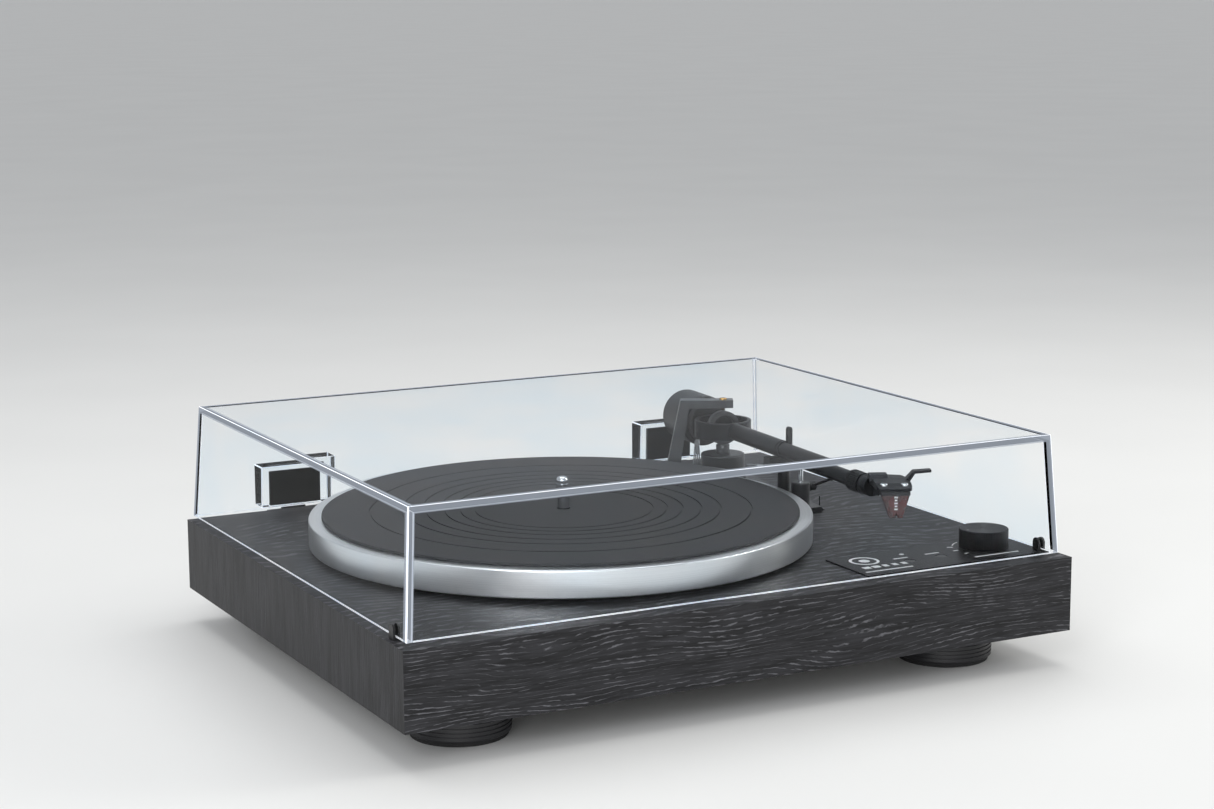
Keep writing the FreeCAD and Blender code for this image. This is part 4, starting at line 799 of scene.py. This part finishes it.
class RECORDPLAYER_OT_cartridge(bpy.types.Operator):
    """Finish the headshell and the cartridge, and print the cartridge's label"""
    bl_idname = "recordplayer.cartridge"
    bl_label = "Headshell and cartridge"

    def execute(self, context):
        head_turn = context.scene.arm_look.head_turn
        look = context.scene.print_look
        satin = black_anodised("satin_black_headshell", "#1f2023", "#2d2e32", 0.38)
        dress(["headshell"], satin, bevel=0.2 * MM)
        dress(["cartridge_body"], moulded_plastic("moulded_cartridge_abs", "#1c1c1f", "#26262a", 0.35))
        dress(["stylus_holder"], red_polycarbonate(), bevel=0.25 * MM)
        new_piece("cartridge_label", lambda bm: print_label(bm, head_turn, look.label_widths),
                  printed_ink(look), "tonearm")
        return {"FINISHED"}


class RECORDPLAYER_OT_lid(bpy.types.Operator):
    """Finish the clear lid, its hinge sockets, the hinges and the clips"""
    bl_idname = "recordplayer.lid"
    bl_label = "Clear lid and hinges"

    def execute(self, context):
        look = context.scene.lid_look
        low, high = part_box("lid_shell")

        def painted_glow_mask(tree):
            return near_edges(tree, low, high, look.draft, look.wall)

        # The lid's edges and walls get a painted glow, and so do the bevelled edges of the hinge sockets.
        edge = acrylic_edge_painted_glow(look)
        dress(["lid_shell"], clear_acrylic(look, "cast_clear_acrylic_painted_wall_glow", painted_glow_mask), look.edge_bevel, edge)
        dress(["hinge_sockets"], clear_acrylic(look, "moulded_clear_acrylic"), look.edge_bevel, edge)
        # The lid's bottom rim is a milled edge too, and gets the same painted glow.
        for face in NODES["lid_shell"].data.polygons:
            if face.normal.z < -0.99 and face.center.z < low.z + MM:
                face.material_index = 1
        hinge = enamelled_metal("black_hinge_steel", "#131314", "#1c1c1e", 0.4)
        dress(["hinge_leg_left", "hinge_leg_right", "hinge_base_left", "hinge_base_right"], hinge)
        dress(["lid_clips"], moulded_plastic("moulded_clip_nylon", "#121213", "#1a1a1b", 0.4))
        return {"FINISHED"}


# ---- stage --------------------------------------------------------------------------------
# Each softbox: name, place in metres, width and height in metres, watts and colour.
SOFTBOXES = (
    ("overhead_softbox", (0.1, 0.25, 1.6), (1.6, 1.2), 13, "#ffffff"),
    ("front_left_softbox", (-1.5, -1.5, 1.0), (1.0, 1.0), 20, "#fbfcff"),
    ("low_strip_softbox", (-1.0, -1.9, 0.35), (1.6, 0.5), 9, "#ffffff"),
    ("right_softbox", (1.6, -0.4, 0.9), (0.8, 1.2), 10, "#fffdf8"),
)
FLOOR_REACH = 60.0
FLOOR_GAP = 0.2 * MM


def hang_softbox(name, place, aim, size, watts, colour):
    """A rectangular light that faces a point."""
    lamp = bpy.data.lights.new(name, "AREA")
    lamp.shape = "RECTANGLE"
    lamp.size, lamp.size_y = size
    lamp.energy = watts
    lamp.color = linear(colour)[:3]
    light = bpy.data.objects.new(name, lamp)
    light.location = place
    light.rotation_euler = (aim - Vector(place)).to_track_quat("-Z", "Y").to_euler()
    bpy.context.scene.collection.objects.link(light)


def pale_floor(look):
    """Matt painted floor: pale, with the faintest clouds, and it takes soft shadows."""
    material, tree, shader = new_material("matt_pale_floor")
    place = add_node(tree, "TexCoord", output="Object")
    cloud = add_node(tree, "TexNoise", {"Vector": place, "Scale": 1 / (250 * MM), "Detail": 2.0,
                                        "Roughness": 0.5})
    lighter = tuple(min(1, 1.03 * part) for part in look.floor_colour)
    feed(tree, shader, {"Base Color": colour_between(tree, cloud, look.floor_colour, lighter),
                        "Roughness": 0.55})
    return material


def lay_floor(look):
    """A floor that reaches far past the view, just under the feet."""
    bm = bmesh.new()
    bmesh.ops.create_grid(bm, x_segments=1, y_segments=1, size=FLOOR_REACH)
    mesh = bpy.data.meshes.new("floor")
    bm.to_mesh(mesh)
    bm.free()
    mesh.materials.append(pale_floor(look))
    floor = bpy.data.objects.new("floor", mesh)
    floor.location.z = CAD_BOX[0].z - FLOOR_GAP
    bpy.context.scene.collection.objects.link(floor)


def light_room(look):
    """Even light from all round, for soft shadows."""
    world = bpy.data.worlds.new("even_room")
    world.use_nodes = True
    feed(world.node_tree, world.node_tree.nodes["Background"],
         {"Color": look.room_colour, "Strength": look.room_light})
    bpy.context.scene.world = world


def set_camera(look):
    """The camera in front, to the left and a little above."""
    camera_data = bpy.data.cameras.new("camera")
    camera_data.lens = look.lens
    camera_data.sensor_width = 36.0
    camera_data.clip_start = 0.01
    camera = bpy.data.objects.new("camera", camera_data)
    camera.location = look.camera_place
    camera.rotation_euler = look.camera_turn
    bpy.context.scene.collection.objects.link(camera)
    bpy.context.scene.camera = camera


class RECORDPLAYER_OT_stage(bpy.types.Operator):
    """Lay the pale floor, hang the soft lights and set the camera"""
    bl_idname = "recordplayer.stage"
    bl_label = "Stage"

    def execute(self, context):
        look = context.scene.stage_look
        lay_floor(look)
        light_room(look)
        centre = (CAD_BOX[0] + CAD_BOX[1]) / 2
        for name, place, size, watts, colour in SOFTBOXES:
            hang_softbox(name, place, centre, size, watts * look.light_scale, colour)
        set_camera(look)
        context.scene.view_settings.view_transform = "Standard"
        return {"FINISHED"}


# ---- add-on -------------------------------------------------------------------------------
OPERATORS = (RECORDPLAYER_OT_case, RECORDPLAYER_OT_underside, RECORDPLAYER_OT_platter, RECORDPLAYER_OT_drive,
             RECORDPLAYER_OT_connectors, RECORDPLAYER_OT_controls, RECORDPLAYER_OT_tonearm,
             RECORDPLAYER_OT_cartridge, RECORDPLAYER_OT_lid, RECORDPLAYER_OT_stage)
SETTINGS = {"oak_look": OakSettings, "metal_look": MetalSettings, "print_look": PrintSettings,
            "arm_look": ArmSettings, "lid_look": LidSettings, "stage_look": StageSettings}


class RECORDPLAYER_PT_sidebar(bpy.types.Panel):
    """Lists the record player's operators and settings"""
    bl_idname = "RECORDPLAYER_PT_sidebar"
    bl_label = "Record Player"
    bl_space_type = "VIEW_3D"
    bl_region_type = "UI"
    bl_category = "Record Player"

    def draw(self, context):
        for operator in OPERATORS:
            self.layout.operator(operator.bl_idname)
        for name, group in SETTINGS.items():
            section = self.layout.box()
            for setting in group.__annotations__:
                section.prop(getattr(context.scene, name), setting)


def register():
    for name, group in SETTINGS.items():
        bpy.utils.register_class(group)
        setattr(bpy.types.Scene, name, PointerProperty(type=group))
    for cls in (*OPERATORS, RECORDPLAYER_PT_sidebar):
        bpy.utils.register_class(cls)


def unregister():
    for cls in reversed((*OPERATORS, RECORDPLAYER_PT_sidebar)):
        bpy.utils.unregister_class(cls)
    for name, group in SETTINGS.items():
        delattr(bpy.types.Scene, name)
        bpy.utils.unregister_class(group)


def main():
    """Runs every operator in order."""
    register()
    for operator in OPERATORS:
        family, call = operator.bl_idname.split(".")
        getattr(getattr(bpy.ops, family), call)()


if __name__ == "__main__":
    main()
